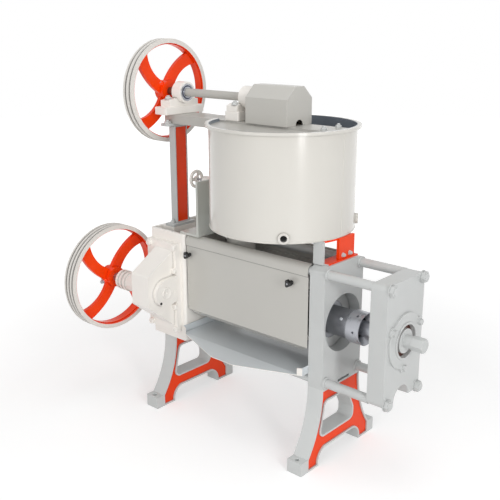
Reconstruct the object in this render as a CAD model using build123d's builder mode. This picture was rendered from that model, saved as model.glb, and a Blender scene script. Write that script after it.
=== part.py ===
from build123d import *
from math import asin, atan, cos, degrees, pi, radians, sin, sqrt, tan
import os

os.makedirs("parts", exist_ok=True)

# Screw oil press with a cooking kettle on top. Millimetres, +Z up.
# The origin is on the floor, in the middle of the four foot bolts. +X runs along the press axis from
# the belt pulleys to the cake outlet, and -Y is the cover side.

# Clearances
FIT = 0.05
GAP = 0.3
HOLE_CLEARANCE = 0.3

# Stands
STAND_SPACING = 823.0
STAND_WIDTH = 70.0
STAND_HEIGHT = 320.0
STAND_TOP_HALF = 127.0
LEG_BEND_HALF = 147.0
LEG_BEND_Z = 182.0
LEG_FOOT_HALF = 211.0
PAD_HEIGHT = 55.0
PAD_HALF = 250.0
FOOT_INNER_HALF = 140.0
ARCH_BEND_HALF = 131.0
ARCH_BEND_Z = 42.0
ARCH_HALF = 98.0
ARCH_HEIGHT = 66.0
FOOT_BOLT_HALF = 232.0
FOOT_BOLT_HOLE_R = 9.0
RIM = 8.0
RECESS = 6.0
WINDOW_BOTTOM = 124.0
WINDOW_TOP = 262.0
WINDOW_FRONT_LOW = -130.0
WINDOW_FRONT_HIGH = -100.0
WINDOW_REAR_LOW = 88.0
WINDOW_SHOULDER_Z = 168.0
WINDOW_REAR_HIGH = 42.0
WINDOW_CORNER_R = 20.0

# Press axis, tie rods and the two plates they hold
AXIS_Z = 566.0
ROD_HALF_Y = 107.0
ROD_HALF_Z = 220.0
ROD_R = 18.0
ROD_END_R = 15.0
ROD_THREAD_LENGTH = 30.0
ROD_WASHER_R = 24.0
ROD_WASHER_THICKNESS = 4.0
ROD_NUT_FLATS = 39.0
ROD_NUT_HEIGHT = 14.0
ROD_STUD_OUT = 4.0
ROD_COLLAR_LENGTH = 8.0
PLATE_THICKNESS = 70.0
PLATE_HALF_WIDTH = 127.0
PLATE_GAP = 200.0
THRUST_PLATE_TOP = 815.0
THRUST_CORNER_R = 40.0
THRUST_BORE_R = 116.0
PILOT_R = 75.0
PILOT_DEPTH = 18.0
SLOT_FRONT = -24.0
SLOT_REAR = 54.0
SLOT_HEIGHT = 10.0
END_PLATE_BOTTOM = 333.0
END_PLATE_TOP = 803.0
END_CORNER_R = 22.0
END_ARCH_R = 52.0

# Gear frame
FRAME_LEFT_OVERHANG = 58.0
FRAME_LENGTH = 211.0
FRAME_FRONT = -140.0
FRAME_REAR = 217.0
FRAME_TOP = 812.0
FRAME_WALL = 14.0
FRAME_THICK_WALL = 32.0
FRAME_CORNER_R = 12.0
FRAME_BOSS_R = 75.0
FRAME_BOSS_DEPTH = 56.5
REAR_OPENING_MARGIN = 30.0
REAR_COVER_MARGIN = 18.0
REAR_COVER_THICKNESS = 8.0
LEDGE_THICKNESS = 26.0

# Gears between the input shaft and the worm shaft
GEAR_MODULE = 4.0
PINION_TEETH = 19
GEAR_TEETH = 95
GEAR_WIDTH = 60.0
PINION_WIDTH = 64.0
GEAR_DEDENDUM = 1.25
PRESSURE_ANGLE = 20.0
TOOTH_BACKLASH = 0.9
GEAR_FROM_FRAME_LEFT = 86.0
GEAR_HUB_R = 62.0
GEAR_WEB_THICKNESS = 22.0
GEAR_RIM_DEPTH = 22.0

# Nose of the gear case
NOSE_FLANGE_THICKNESS = 28.0
NOSE_FLANGE_WIDTH = 181.0
NOSE_FLANGE_LEFT = 7.0
NOSE_FLANGE_BOTTOM = 366.0
NOSE_FLANGE_TOP = 770.0
NOSE_WIDTH = 107.0
NOSE_WALL = 10.0
NOSE_REACH = 145.0
NOSE_ROOT_TOP = 740.0
NOSE_ROOT_BOTTOM = 396.0
NOSE_TIP_TOP = 651.0
NOSE_TIP_BOTTOM = 511.5
NOSE_CORNER_R = 10.0
NOSE_BOSS_R = 60.0
NOSE_BOSS_PROUD = 22.0
NOSE_BOSS_ROOT_TOP = 630.0
NOSE_BOSS_ROOT_BOTTOM = 515.0
NOSE_CAP_R = 25.0
NOSE_CAP_PROUD = 2.0
NOSE_BOLT_R = 5.0
NOSE_RIGHT_BOLT_HEIGHTS = (754.0, 652.0, 485.0, 379.0)
NOSE_LEFT_BOLT_HEIGHTS = (751.0, 381.0)
NOSE_BOLT_HEAD_FLATS = 17.0
NOSE_BOLT_HEAD_HEIGHT = 9.0
NOSE_BOLT_LENGTH = 38.0

# Input shaft
INPUT_SHAFT_R = 20.0
INPUT_BEARING_R = 31.0
SHAFT_END_INSET = 1.0
INPUT_BEARING_WIDTH = 18.0
HOUSING_R = 39.0
HOUSING_RIB_R = 44.5
HOUSING_LENGTH = 164.5
HOUSING_RIB_WIDTH = 13.0
HOUSING_RIB_PITCH = 23.0
HOUSING_RIBS = 3
HOUSING_CLEARANCE = 2.0
PULLEY_FROM_HOUSING = 43.5

# Belt pulleys
LOWER_PULLEY_R = 241.5
LOWER_PULLEY_WIDTH = 62.0
LOWER_PULLEY_GROOVES = 3
UPPER_PULLEY_R = 222.0
UPPER_PULLEY_WIDTH = 50.0
UPPER_PULLEY_GROOVES = 2
GROOVE_DEPTH = 11.0
GROOVE_WIDTH = 14.0
GROOVE_BOTTOM_WIDTH = 6.0
PULLEY_RIM_DEPTH = 20.0
INNER_RIM_DEPTH = 4.0
INNER_RIM_WIDTH = 34.0
SPOKE_COUNT = 4
SPOKE_THICKNESS = 18.0
SPOKE_HUB_WIDTH = 56.0
SPOKE_HUB_ANGLE = 66.0
SPOKE_BEND_WIDTH = 50.0
SPOKE_BEND_ANGLE = 55.0
SPOKE_RIM_WIDTH = 66.0
SPOKE_RIM_ANGLE = 43.0
SPOKE_ROOT = 6.0
PULLEY_HUB_R = 45.0
PULLEY_SHAFT_MARGIN = 12.0

# Worm shaft, worms and cage
WORM_SHAFT_R = 30.0
WORM_CORE_R = 38.0
WORM_R = 49.0
WORM_END_GAP = 2.0
WORM_COUNT = 5
WORM_FLIGHT_WIDTH = 12.0
MAIN_BEARING_R = 50.0
MAIN_BEARING_WIDTH = 30.0
FEED_HOUSING_LENGTH = 287.0
FEED_HOUSING_R = 90.0
FEED_BORE_R = 52.0
FEED_END_WALL = 16.0
CHUTE_FROM_CAGE = 80.0
CHUTE_R = 60.0
CHUTE_BORE_R = 56.0
CHUTE_FLANGE_R = 84.0
CHUTE_FLANGE_THICKNESS = 10.0
THROAT_TOP = 700.0
CAGE_R = 88.0
CUT_MARGIN = 1.0
CAGE_BAR_CLEARANCE = 0.1
CAGE_BORE_R = 66.0
CAGE_FLANGE_REACH = 112.0
CAGE_FLANGE_THICKNESS = 18.0
CAGE_SPLIT = 1.0
CAGE_RIB_R = 96.0
CAGE_RIB_WIDTH = 16.0
CAGE_RIBS = 5
CAGE_SLOT_WIDTH = 10.0
CAGE_BAR_COUNT = 24
CAGE_BAR_DEPTH = 13.9
CAGE_BAR_GAP = 1.0
CAGE_BOLTS = 4
CAGE_BOLT_R = 7.0
CAGE_BOLT_HEAD_FLATS = 19.0
CAGE_BOLT_HEAD_HEIGHT = 9.0

# Choke
CHOKE_FLANGE_R = 74.7
SLEEVE_R = 57.0
SLEEVE_BORE_R = 48.0
SLEEVE_LENGTH = 147.0
COLLAR_R = 62.0
COLLAR_WIDTH = 10.0
COLLAR_FROM_PLATE = 43.5
RING_R = 65.0
RING_WIDTH = 57.7
MOUTH_DEPTH = 30.0
MOUTH_R = 61.0
MOUTH_NECK_R = 40.0
MOUTH_NECK = 3.0
TOMMY_HOLE_R = 5.0
TOMMY_HOLE_DEPTH = 12.0
TOMMY_FROM_MOUTH = 24.0
TOMMY_HOLES = 6

# End of the worm shaft in the end plate
END_BEARING_R = 62.0
END_BEARING_WIDTH = 50.0
END_SHAFT_R = 25.0
END_WALL = 14.0
CAP_R = 108.0
CAP_LOBE_R = 20.0
CAP_HOLE_R = 63.0
CAP_THICKNESS = 8.0
CAP_RING_R = 72.0
CAP_RING_RISE = 4.0
CAP_BOLT_CIRCLE_R = 105.0
CAP_BOLT_FIRST_ANGLE = 27.0
CAP_BOLT_COUNT = 3
CAP_BOLT_HEAD_FLATS = 22.0
CAP_BOLT_HEAD_HEIGHT = 11.0
CAP_BOLT_R = 7.0
CAP_BOLT_LENGTH = 30.0
LOCK_NUT_R = 47.0
LOCK_NUT_WIDTH = 12.0
STEM_LENGTH = 33.0
HEX_FLATS = 50.0
HEX_LENGTH = 46.0
HEX_CHAMFER = 4.0

# Front cover
COVER_SHEET = 2.0
COVER_LEFT_GAP = 6.0
COVER_RIGHT_GAP = 7.0
COVER_TOP = 768.0
COVER_BOTTOM = 476.0
FOLD_DROP = 26.0
FOLD_REACH = 27.0
FOLD_SLANT = 40.0
HOOK_WIDTH = 28.0
HOOK_END_ANGLE = 40.0
LEFT_HOOK_INSET = 18.0
RIGHT_HOOK_INSET = 10.0
KNOB_Z = 727.0
LEFT_KNOB_INSET = 20.0
RIGHT_KNOB_INSET = 78.0
KNOB_R = 13.0
KNOB_HEAD = 15.0
KNOB_NECK_R = 7.5
KNOB_NECK = 16.0
KNOB_STUD_R = 4.0
KNOB_CHAMFER = 3.0
STAY_BAR_HEIGHT = 30.0
STAY_BAR_BEHIND_FOLD = 1.8
STAY_BAR_THICKNESS = 8.0
REAR_GUARD_TOP = 808.0
REAR_GUARD_BOTTOM = 450.0

# Oil tray
TRAY_SHEET = 2.5
TRAY_FLOOR = 375.0
TRAY_RIM_TOP = 405.0
TRAY_REAR = 130.0
TRAY_LIP_HEIGHT = 3.0
TRAY_HOLLOW_MARGIN = 10.0
TRAY_CUT_MARGIN = 30.0
TRAY_FRONT = -163.0
TRAY_LIP_Y = -242.0
TRAY_LIP_Z = 358.0
TRAY_LIP_LEFT = -40.5
TRAY_LIP_RIGHT = 81.5
TRAY_LEFT_GAP = 10.0
TRAY_BAR_WIDTH = 30.0
TRAY_BAR_SPACING = 400.0

# Kettle
KETTLE_X = 134.5
KETTLE_R = 290.0
KETTLE_SLOT_MARGIN = 10.0
KETTLE_WALL = 4.0
KETTLE_BOTTOM = 904.0
KETTLE_TOP = 1312.0
BEAD_R = 305.0
BEAD_HEIGHT = 11.0
KETTLE_BASE = 8.0
LINER_R = 262.0
LINER_WALL = 4.0
LINER_BOTTOM = 960.0
LINER_TOP = 1240.0
LID_THICKNESS = 3.0
SOCKET_R = 21.0
SOCKET_BORE_R = 13.0
SOCKET_REACH = 12.0
DRAIN_ANGLE = -49.5
DRAIN_Z = 927.0
SIDE_SOCKET_ANGLE = 33.5
SIDE_SOCKET_Z = 940.0

# Kettle supports
LEFT_FOOT_INSET = 2.0
SUPPORT_THICKNESS = 12.0
LEFT_SUPPORT_FROM_FRAME = 69.0
LEFT_SUPPORT_HALF = 131.0
LEFT_SUPPORT_TOP = 1050.0
SUPPORT_FOOT = 10.0
SHELF_THICKNESS = 8.0
SADDLE_HALF = 45.0
SADDLE_RISE = 20.0
SADDLE_HEIGHT = 40.0
RIGHT_POST_WIDTH = 45.0
RIGHT_POST_THICKNESS = 12.0
RIGHT_POST_Y = -100.0
RIGHT_POST_OVERHANG = 3.0
RIGHT_WEB_FRONT = -20.0
RIGHT_WEB_REAR = 82.0
RIGHT_WEB_FROM_PLATE = 42.0
RIGHT_FOOT = 5.0
RIGHT_FOOT_MARGIN = 8.0
RIGHT_FOOT_REAR = 98.0
RIGHT_SHELF_INWARD = 45.0

# Feed chute and gate
GUIDE_HALF_X = 70.0
GUIDE_HALF_Y = 74.0
GUIDE_HEIGHT = 24.0
GATE_HALF_WIDTH = 60.0
GATE_THICKNESS = 5.0
GATE_FRONT = -61.5
GATE_REAR = 78.0
GATE_FROM_GUIDE_BOTTOM = 6.0
GATE_HANDLE_WIDTH = 30.0
GATE_HANDLE_LENGTH = 34.0
GATE_HANDLE_RISE = 14.0

# Upper shaft, its bearings and the beam
UPPER_AXIS_Z = 1398.0
UPPER_SHAFT_R = 17.0
UPPER_PULLEY_LEFT = -553.5
BEAM_TOP = 1307.0
BEAM_THICKNESS = 10.0
BEAM_HALF_WIDTH = 65.0
BEAM_LEFT = -471.5
BEAM_FLANGE_DROP = 29.0
BEAM_FLANGE_THICKNESS = 8.0
BEAM_FLANGE_END = -175.0
CLEAT_LENGTH = 32.0
CLEAT_THICKNESS = 12.0
POST_LEFT = -461.5
POST_DEPTH = 38.0
POST_HALF_WIDTH = 36.0
POST_Y = -16.0
POST_RIM = 5.0
POST_RECESS = 4.0
POST_PLATE = 12.0
POST_PLATE_MARGIN_X = 8.0
POST_PLATE_MARGIN_Y = 30.0
POST_TOP_PLATE = 10.0
POST_TOP_FRONT = -100.0
POST_TOP_REAR = 75.0
POST_TOP_CORNER_R = 16.0
LEFT_BLOCK_LEFT = -481.5
RIGHT_BLOCK_LEFT = -113.5
BLOCK_LENGTH = 71.0
LEFT_BLOCK_HALF = 112.0
RIGHT_BLOCK_HALF = 65.0
LEFT_BLOCK_HEIGHT = 33.0
RIGHT_BLOCK_HEIGHT = 38.0
PILLOW_HALF = 84.0
RIGHT_PILLOW_HALF = 64.0
PILLOW_FOOT_TOP = 1374.0
PILLOW_R = 45.0
PILLOW_FOOT_MARGIN = 8.0
PILLOW_FOOT_SLOPE = 8.0
LEFT_HOUSING_FROM_BLOCK = 35.0
LEFT_HOUSING_LENGTH = 50.0
RIGHT_HOUSING_FROM_BLOCK = 53.5

# Bevel gears and their guard
BEVEL_MODULE = 3.5
BEVEL_PINION_TEETH = 16
CROWN_TEETH = 32
BEVEL_FACE = 20.0
SHAFT_PAST_PINION = 3.0
PINION_BACK_STEP = 5.0
CROWN_BACK_STEP = 9.0
BEVEL_BACKLASH = 0.9
BEVEL_BACK = 16.0
GUARD_SHEET = 2.0
GUARD_LEFT_FROM_KETTLE = 127.0
GUARD_RIGHT_FROM_KETTLE = 81.0
GUARD_HALF_WIDTH = 77.0
GUARD_SIDE_TOP = 1408.0
GUARD_TOP = 1454.0
GUARD_TOP_HALF = 27.0
GUARD_LIP = 20.0
GUARD_NOTCH_R = 22.0
GUARD_SLOT_CLEARANCE = 6.0

# Stirrer
STIRRER_R = 17.5
STIRRER_UNDER_SHAFT = 1.5
STIRRER_REACH = 248.0
STIRRER_ARM_HEIGHT = 26.0
STIRRER_ARM_THICKNESS = 10.0
STIRRER_ARM_BEND = 60.0
STIRRER_HUB_R = 34.0
STIRRER_HUB_HEIGHT = 50.0
FOOT_BEARING_R = 32.0
FOOT_BEARING_HEIGHT = 22.0
TOP_BEARING_R = 30.0
TOP_BEARING_FLANGE_R = 50.0
TOP_BEARING_FLANGE = 10.0
TOP_BEARING_HEIGHT = 38.0

# Steam valve
VALVE_Z = 1027.0
VALVE_BODY_X = -272.0
VALVE_BODY_R = 21.0
VALVE_BODY_LENGTH = 50.0
VALVE_PIPE_R = 13.5
VALVE_PIPE_BORE_R = 8.0
VALVE_PORT_R = 17.0
VALVE_PORT_REACH = 40.0
VALVE_THREAD_R = 10.0
VALVE_THREAD_LENGTH = 20.0
VALVE_SEAT = 2.0
VALVE_PIPE_INSIDE = 2.0
STEM_ROD_R = 5.0
HANDWHEEL_X = -350.5
HANDWHEEL_R = 38.0
HANDWHEEL_THICKNESS = 10.0
HANDWHEEL_RIM = 8.0
HANDWHEEL_HUB_R = 11.0
HANDWHEEL_SPOKES = 3
HANDWHEEL_FIRST_SPOKE = 90.0
HANDWHEEL_SPOKE_WIDTH = 9.0
HANDWHEEL_SPOKE_INSET = 2.0

# Places that follow from the sizes above
stand_left = -STAND_SPACING / 2
stand_right = STAND_SPACING / 2
frame_left = stand_left - STAND_WIDTH / 2 - FRAME_LEFT_OVERHANG
frame_right = frame_left + FRAME_LENGTH
frame_middle = (frame_left + frame_right) / 2
plate_left = stand_right - PLATE_THICKNESS / 2
plate_right = stand_right + PLATE_THICKNESS / 2
end_left = plate_right + PLATE_GAP
end_right = end_left + PLATE_THICKNESS
cage_left = frame_right + FEED_HOUSING_LENGTH
chute_x = cage_left - CHUTE_FROM_CAGE
rod_top_z = AXIS_Z + ROD_HALF_Z
rod_places = [(side * ROD_HALF_Y, AXIS_Z + lift * ROD_HALF_Z) for side in (-1, 1) for lift in (-1, 1)]
gear_span = (frame_left + GEAR_FROM_FRAME_LEFT, frame_left + GEAR_FROM_FRAME_LEFT + GEAR_WIDTH)
gear_middle = sum(gear_span) / 2
gear_r = GEAR_MODULE * GEAR_TEETH / 2
pinion_r = GEAR_MODULE * PINION_TEETH / 2
input_y = -(gear_r + pinion_r)
nose_root_y = FRAME_FRONT - NOSE_FLANGE_THICKNESS
nose_tip_y = nose_root_y - NOSE_REACH
nose_left = gear_middle - NOSE_WIDTH / 2
nose_right = gear_middle + NOSE_WIDTH / 2
nose_boss_right = nose_right + NOSE_BOSS_PROUD
nose_flange_span = (frame_left + NOSE_FLANGE_LEFT, frame_left + NOSE_FLANGE_LEFT + NOSE_FLANGE_WIDTH)
cap_face = end_right + CAP_THICKNESS
shelf_z = KETTLE_BOTTOM - SHELF_THICKNESS
beam_bottom = BEAM_TOP - BEAM_THICKNESS
flange_bottom = beam_bottom - BEAM_FLANGE_DROP
kettle_inner_r = KETTLE_R - KETTLE_WALL
kettle_floor = KETTLE_BOTTOM + KETTLE_BASE
bevel_reach = BEVEL_MODULE * CROWN_TEETH / 2
bevel_drop = BEVEL_MODULE * BEVEL_PINION_TEETH / 2
crown_z = UPPER_AXIS_Z - bevel_drop
cover_face = -(ROD_HALF_Y + ROD_R + GAP + COVER_SHEET)


def middle(span):
    return (span[0] + span[1]) / 2


def length(span):
    return span[1] - span[0]


def block(x, y, z, mode=Mode.ADD):
    """A box given by its spans along X, Y and Z."""
    with BuildSketch(Plane.XY.offset(z[0])) as base:
        with Locations((middle(x), middle(y))):
            Rectangle(length(x), length(y))
    extrude(base.sketch, amount=length(z), mode=mode)


def bar_x(x, radius, y=0.0, z=AXIS_Z, mode=Mode.ADD):
    """A round bar along X."""
    with BuildSketch(Plane.YZ.offset(x[0])) as face:
        with Locations((y, z)):
            Circle(radius)
    extrude(face.sketch, amount=length(x), mode=mode)


def bar_y(y, radius, x, z, mode=Mode.ADD):
    """A round bar along Y."""
    with BuildSketch(Plane.XZ.offset(-y[1])) as face:
        with Locations((x, z)):
            Circle(radius)
    extrude(face.sketch, amount=length(y), mode=mode)


def bar_z(z, radius, x=0.0, y=0.0, mode=Mode.ADD):
    """A round bar along Z."""
    with BuildSketch(Plane.XY.offset(z[0])) as face:
        with Locations((x, y)):
            Circle(radius)
    extrude(face.sketch, amount=length(z), mode=mode)


def hexagon_x(x, flats, y, z, mode=Mode.ADD):
    """A hexagonal bar along X, given by its width across flats."""
    with BuildSketch(Plane.YZ.offset(x[0])) as face:
        with Locations((y, z)):
            RegularPolygon(flats / 2, 6, major_radius=False)
    extrude(face.sketch, amount=length(x), mode=mode)


def hexagon_y(y, flats, x, z, mode=Mode.ADD):
    """A hexagonal bar along Y, given by its width across flats."""
    with BuildSketch(Plane.XZ.offset(-y[1])) as face:
        with Locations((x, z)):
            RegularPolygon(flats / 2, 6, major_radius=False, rotation=30)
    extrude(face.sketch, amount=length(y), mode=mode)


def hexagon_z(z, flats, x, y, mode=Mode.ADD):
    """A hexagonal bar along Z, given by its width across flats."""
    with BuildSketch(Plane.XY.offset(z[0])) as face:
        with Locations((x, y)):
            RegularPolygon(flats / 2, 6, major_radius=False)
    extrude(face.sketch, amount=length(z), mode=mode)


def plate_x(x, points, corner=0.0, mode=Mode.ADD):
    """A plate across X with an outline of (y, z) points."""
    with BuildSketch(Plane.YZ.offset(x[0])) as face:
        with BuildLine():
            Polyline(*points, close=True)
        make_face()
        if corner:
            fillet(face.vertices(), corner)
    extrude(face.sketch, amount=length(x), mode=mode)


def plate_y(y, points, mode=Mode.ADD):
    """A plate across Y with an outline of (x, z) points."""
    with BuildSketch(Plane.XZ.offset(-y[1])) as face:
        with BuildLine():
            Polyline(*points, close=True)
        make_face()
    extrude(face.sketch, amount=length(y), mode=mode)


def plate_z(z, points, mode=Mode.ADD):
    """A plate across Z with an outline of (x, y) points."""
    with BuildSketch(Plane.XY.offset(z[0])) as face:
        with BuildLine():
            Polyline(*points, close=True)
        make_face()
    extrude(face.sketch, amount=length(z), mode=mode)


def turned_x(points, y=0.0, z=AXIS_Z, mode=Mode.ADD):
    """A turned piece about an axis along X, with a section of (x, radius) points."""
    with BuildSketch(Plane(origin=(0, y, z), x_dir=(1, 0, 0), z_dir=(0, -1, 0))) as section:
        with BuildLine():
            Polyline(*points, close=True)
        make_face()
    revolve(section.sketch, axis=Axis((0, y, z), (1, 0, 0)), mode=mode)


def turned_z(points, x=0.0, y=0.0, mode=Mode.ADD):
    """A turned piece about an axis along Z, with a section of (radius, z) points."""
    with BuildSketch(Plane(origin=(x, y, 0), x_dir=(1, 0, 0), z_dir=(0, -1, 0))) as section:
        with BuildLine():
            Polyline(*points, close=True)
        make_face()
    revolve(section.sketch, axis=Axis((x, y, 0), (0, 0, 1)), mode=mode)


def polar(radius, angle):
    """The two coordinates of a point at a radius and an angle in degrees."""
    return (radius * cos(radians(angle)), radius * sin(radians(angle)))


def save(piece, name):
    piece.part.label = name
    export_step(piece.part, f"parts/{name}.step")


# Stands
def leg_half(pads):
    """Half the outline of a stand, from the top middle to the arch middle."""
    Line((0, STAND_HEIGHT), (STAND_TOP_HALF, STAND_HEIGHT))
    ThreePointArc((STAND_TOP_HALF, STAND_HEIGHT), (LEG_BEND_HALF, LEG_BEND_Z), (LEG_FOOT_HALF, PAD_HEIGHT))
    if pads:
        Polyline((LEG_FOOT_HALF, PAD_HEIGHT), (PAD_HALF, PAD_HEIGHT), (PAD_HALF, 0), (FOOT_INNER_HALF, 0))
    else:
        Polyline((LEG_FOOT_HALF, PAD_HEIGHT), (LEG_FOOT_HALF, 0), (FOOT_INNER_HALF, 0))
    ThreePointArc((FOOT_INNER_HALF, 0), (ARCH_BEND_HALF, ARCH_BEND_Z), (ARCH_HALF, ARCH_HEIGHT))
    Line((ARCH_HALF, ARCH_HEIGHT), (0, ARCH_HEIGHT))


window_points = [
    (WINDOW_FRONT_LOW, WINDOW_BOTTOM),
    (WINDOW_REAR_LOW, WINDOW_BOTTOM),
    (WINDOW_REAR_LOW, WINDOW_SHOULDER_Z),
    (WINDOW_REAR_HIGH, WINDOW_TOP),
    (WINDOW_FRONT_HIGH, WINDOW_TOP),
]


def make_stand(x_middle, name):
    faces = (x_middle - STAND_WIDTH / 2, x_middle + STAND_WIDTH / 2)
    with BuildPart() as stand:
        with BuildSketch(Plane.YZ.offset(faces[0])) as outline:
            with BuildLine():
                leg_half(True)
                mirror(about=Plane.YZ)
            make_face()
        extrude(amount=STAND_WIDTH)
        with BuildSketch(Plane.YZ.offset(faces[0])) as window:
            with BuildLine():
                Polyline(*window_points, close=True)
            make_face()
            fillet(window.vertices(), WINDOW_CORNER_R)
        extrude(amount=STAND_WIDTH, mode=Mode.SUBTRACT)
        for start in (faces[0], faces[1] - RECESS):
            with BuildSketch(Plane.YZ.offset(start)) as panel:
                with BuildLine():
                    leg_half(False)
                    mirror(about=Plane.YZ)
                make_face()
                offset(amount=-RIM, mode=Mode.REPLACE)
                with BuildSketch(Plane.XY, mode=Mode.SUBTRACT) as grown_window:
                    with BuildLine():
                        Polyline(*window_points, close=True)
                    make_face()
                    fillet(grown_window.vertices(), WINDOW_CORNER_R)
                    offset(amount=RIM, mode=Mode.REPLACE)
            extrude(amount=RECESS, mode=Mode.SUBTRACT)
        for side in (-1, 1):
            bar_z((0, PAD_HEIGHT), FOOT_BOLT_HOLE_R, x_middle, side * FOOT_BOLT_HALF, mode=Mode.SUBTRACT)
    save(stand, name)


make_stand(stand_left, "left_stand")
make_stand(stand_right, "right_stand")


# Gear frame, open on top, with a ledge for the beam post
inner_x = (frame_left + FRAME_WALL, frame_right - FRAME_THICK_WALL)
inner_y = (FRAME_FRONT + FRAME_WALL, FRAME_REAR - FRAME_WALL)
post_plate_x = (POST_LEFT - POST_PLATE_MARGIN_X, POST_LEFT + POST_DEPTH + POST_PLATE_MARGIN_X)
post_plate_half = POST_HALF_WIDTH + POST_PLATE_MARGIN_Y
post_plate_y = (POST_Y - post_plate_half, POST_Y + post_plate_half)
left_bearing_x = (frame_left + FRAME_WALL, frame_left + FRAME_WALL + MAIN_BEARING_WIDTH)
right_bearing_x = (frame_right - FRAME_BOSS_DEPTH, frame_right - FRAME_BOSS_DEPTH + MAIN_BEARING_WIDTH)
with BuildPart() as gear_frame:
    with BuildSketch(Plane.XY.offset(STAND_HEIGHT)) as footprint:
        with Locations((frame_middle, (FRAME_FRONT + FRAME_REAR) / 2)):
            Rectangle(FRAME_LENGTH, FRAME_REAR - FRAME_FRONT)
        fillet(footprint.vertices(), FRAME_CORNER_R)
    extrude(amount=FRAME_TOP - STAND_HEIGHT)
    block(inner_x, inner_y, (STAND_HEIGHT + FRAME_WALL, FRAME_TOP), mode=Mode.SUBTRACT)
    bar_x((frame_left, left_bearing_x[1]), FRAME_BOSS_R)
    bar_x((right_bearing_x[0], frame_right), FRAME_BOSS_R)
    bar_x(left_bearing_x, MAIN_BEARING_R, mode=Mode.SUBTRACT)
    bar_x((right_bearing_x[0], right_bearing_x[1]), MAIN_BEARING_R, mode=Mode.SUBTRACT)
    bar_x((right_bearing_x[1], frame_right), WORM_SHAFT_R + HOLE_CLEARANCE, mode=Mode.SUBTRACT)
    block(
        (nose_left + NOSE_WALL, nose_right - NOSE_WALL),
        (FRAME_FRONT, FRAME_FRONT + FRAME_WALL),
        (NOSE_ROOT_BOTTOM + NOSE_WALL, NOSE_ROOT_TOP - NOSE_WALL),
        mode=Mode.SUBTRACT,
    )
    block(
        (inner_x[0] + REAR_OPENING_MARGIN, inner_x[1]),
        (FRAME_REAR - FRAME_WALL, FRAME_REAR),
        (STAND_HEIGHT + FRAME_WALL + REAR_OPENING_MARGIN, FRAME_TOP - 2 * REAR_OPENING_MARGIN),
        mode=Mode.SUBTRACT,
    )
    block(
        (frame_left, post_plate_x[1]),
        post_plate_y,
        (FRAME_TOP - LEDGE_THICKNESS, FRAME_TOP),
    )
    for y, z in rod_places:
        bar_x((frame_right - ROD_THREAD_LENGTH, frame_right), ROD_R + FIT, y, z, mode=Mode.SUBTRACT)
save(gear_frame, "gear_frame")

with BuildPart() as gear_frame_rear_cover:
    block(
        (inner_x[0] + REAR_OPENING_MARGIN - REAR_COVER_MARGIN, inner_x[1] + REAR_COVER_MARGIN),
        (FRAME_REAR, FRAME_REAR + REAR_COVER_THICKNESS),
        (
            STAND_HEIGHT + FRAME_WALL + REAR_OPENING_MARGIN - REAR_COVER_MARGIN,
            FRAME_TOP - 2 * REAR_OPENING_MARGIN + REAR_COVER_MARGIN,
        ),
    )
save(gear_frame_rear_cover, "gear_frame_rear_cover")

with BuildPart() as main_bearings:
    for span in (left_bearing_x, right_bearing_x):
        bar_x(span, MAIN_BEARING_R - FIT)
        bar_x(span, WORM_SHAFT_R + FIT, mode=Mode.SUBTRACT)
save(main_bearings, "main_bearings")


# Nose of the gear case with its flange and bearing boss
nose_outline = [
    (nose_root_y, NOSE_ROOT_TOP),
    (nose_tip_y, NOSE_TIP_TOP),
    (nose_tip_y, NOSE_TIP_BOTTOM),
    (nose_root_y, NOSE_ROOT_BOTTOM),
]
top_slope = (NOSE_ROOT_TOP - NOSE_TIP_TOP) / NOSE_REACH
bottom_slope = (NOSE_TIP_BOTTOM - NOSE_ROOT_BOTTOM) / NOSE_REACH
top_drop = NOSE_WALL * sqrt(1 + top_slope**2)
bottom_lift = NOSE_WALL * sqrt(1 + bottom_slope**2)
nose_hollow = [
    (FRAME_FRONT, NOSE_ROOT_TOP - top_drop),
    (nose_root_y, NOSE_ROOT_TOP - top_drop),
    (nose_tip_y + NOSE_WALL, NOSE_TIP_TOP - top_drop + top_slope * NOSE_WALL),
    (nose_tip_y + NOSE_WALL, NOSE_TIP_BOTTOM + bottom_lift - bottom_slope * NOSE_WALL),
    (nose_root_y, NOSE_ROOT_BOTTOM + bottom_lift),
    (FRAME_FRONT, NOSE_ROOT_BOTTOM + bottom_lift),
]
nose_bearing_x = (nose_right - NOSE_WALL, nose_right - NOSE_WALL + INPUT_BEARING_WIDTH)
nose_bolt_columns = (
    ((nose_right + nose_flange_span[1]) / 2, NOSE_RIGHT_BOLT_HEIGHTS),
    (nose_flange_span[0] + NOSE_BOLT_HEAD_FLATS, NOSE_LEFT_BOLT_HEIGHTS),
)
nose_bolt_places = [(x, z) for x, heights in nose_bolt_columns for z in heights]
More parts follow.
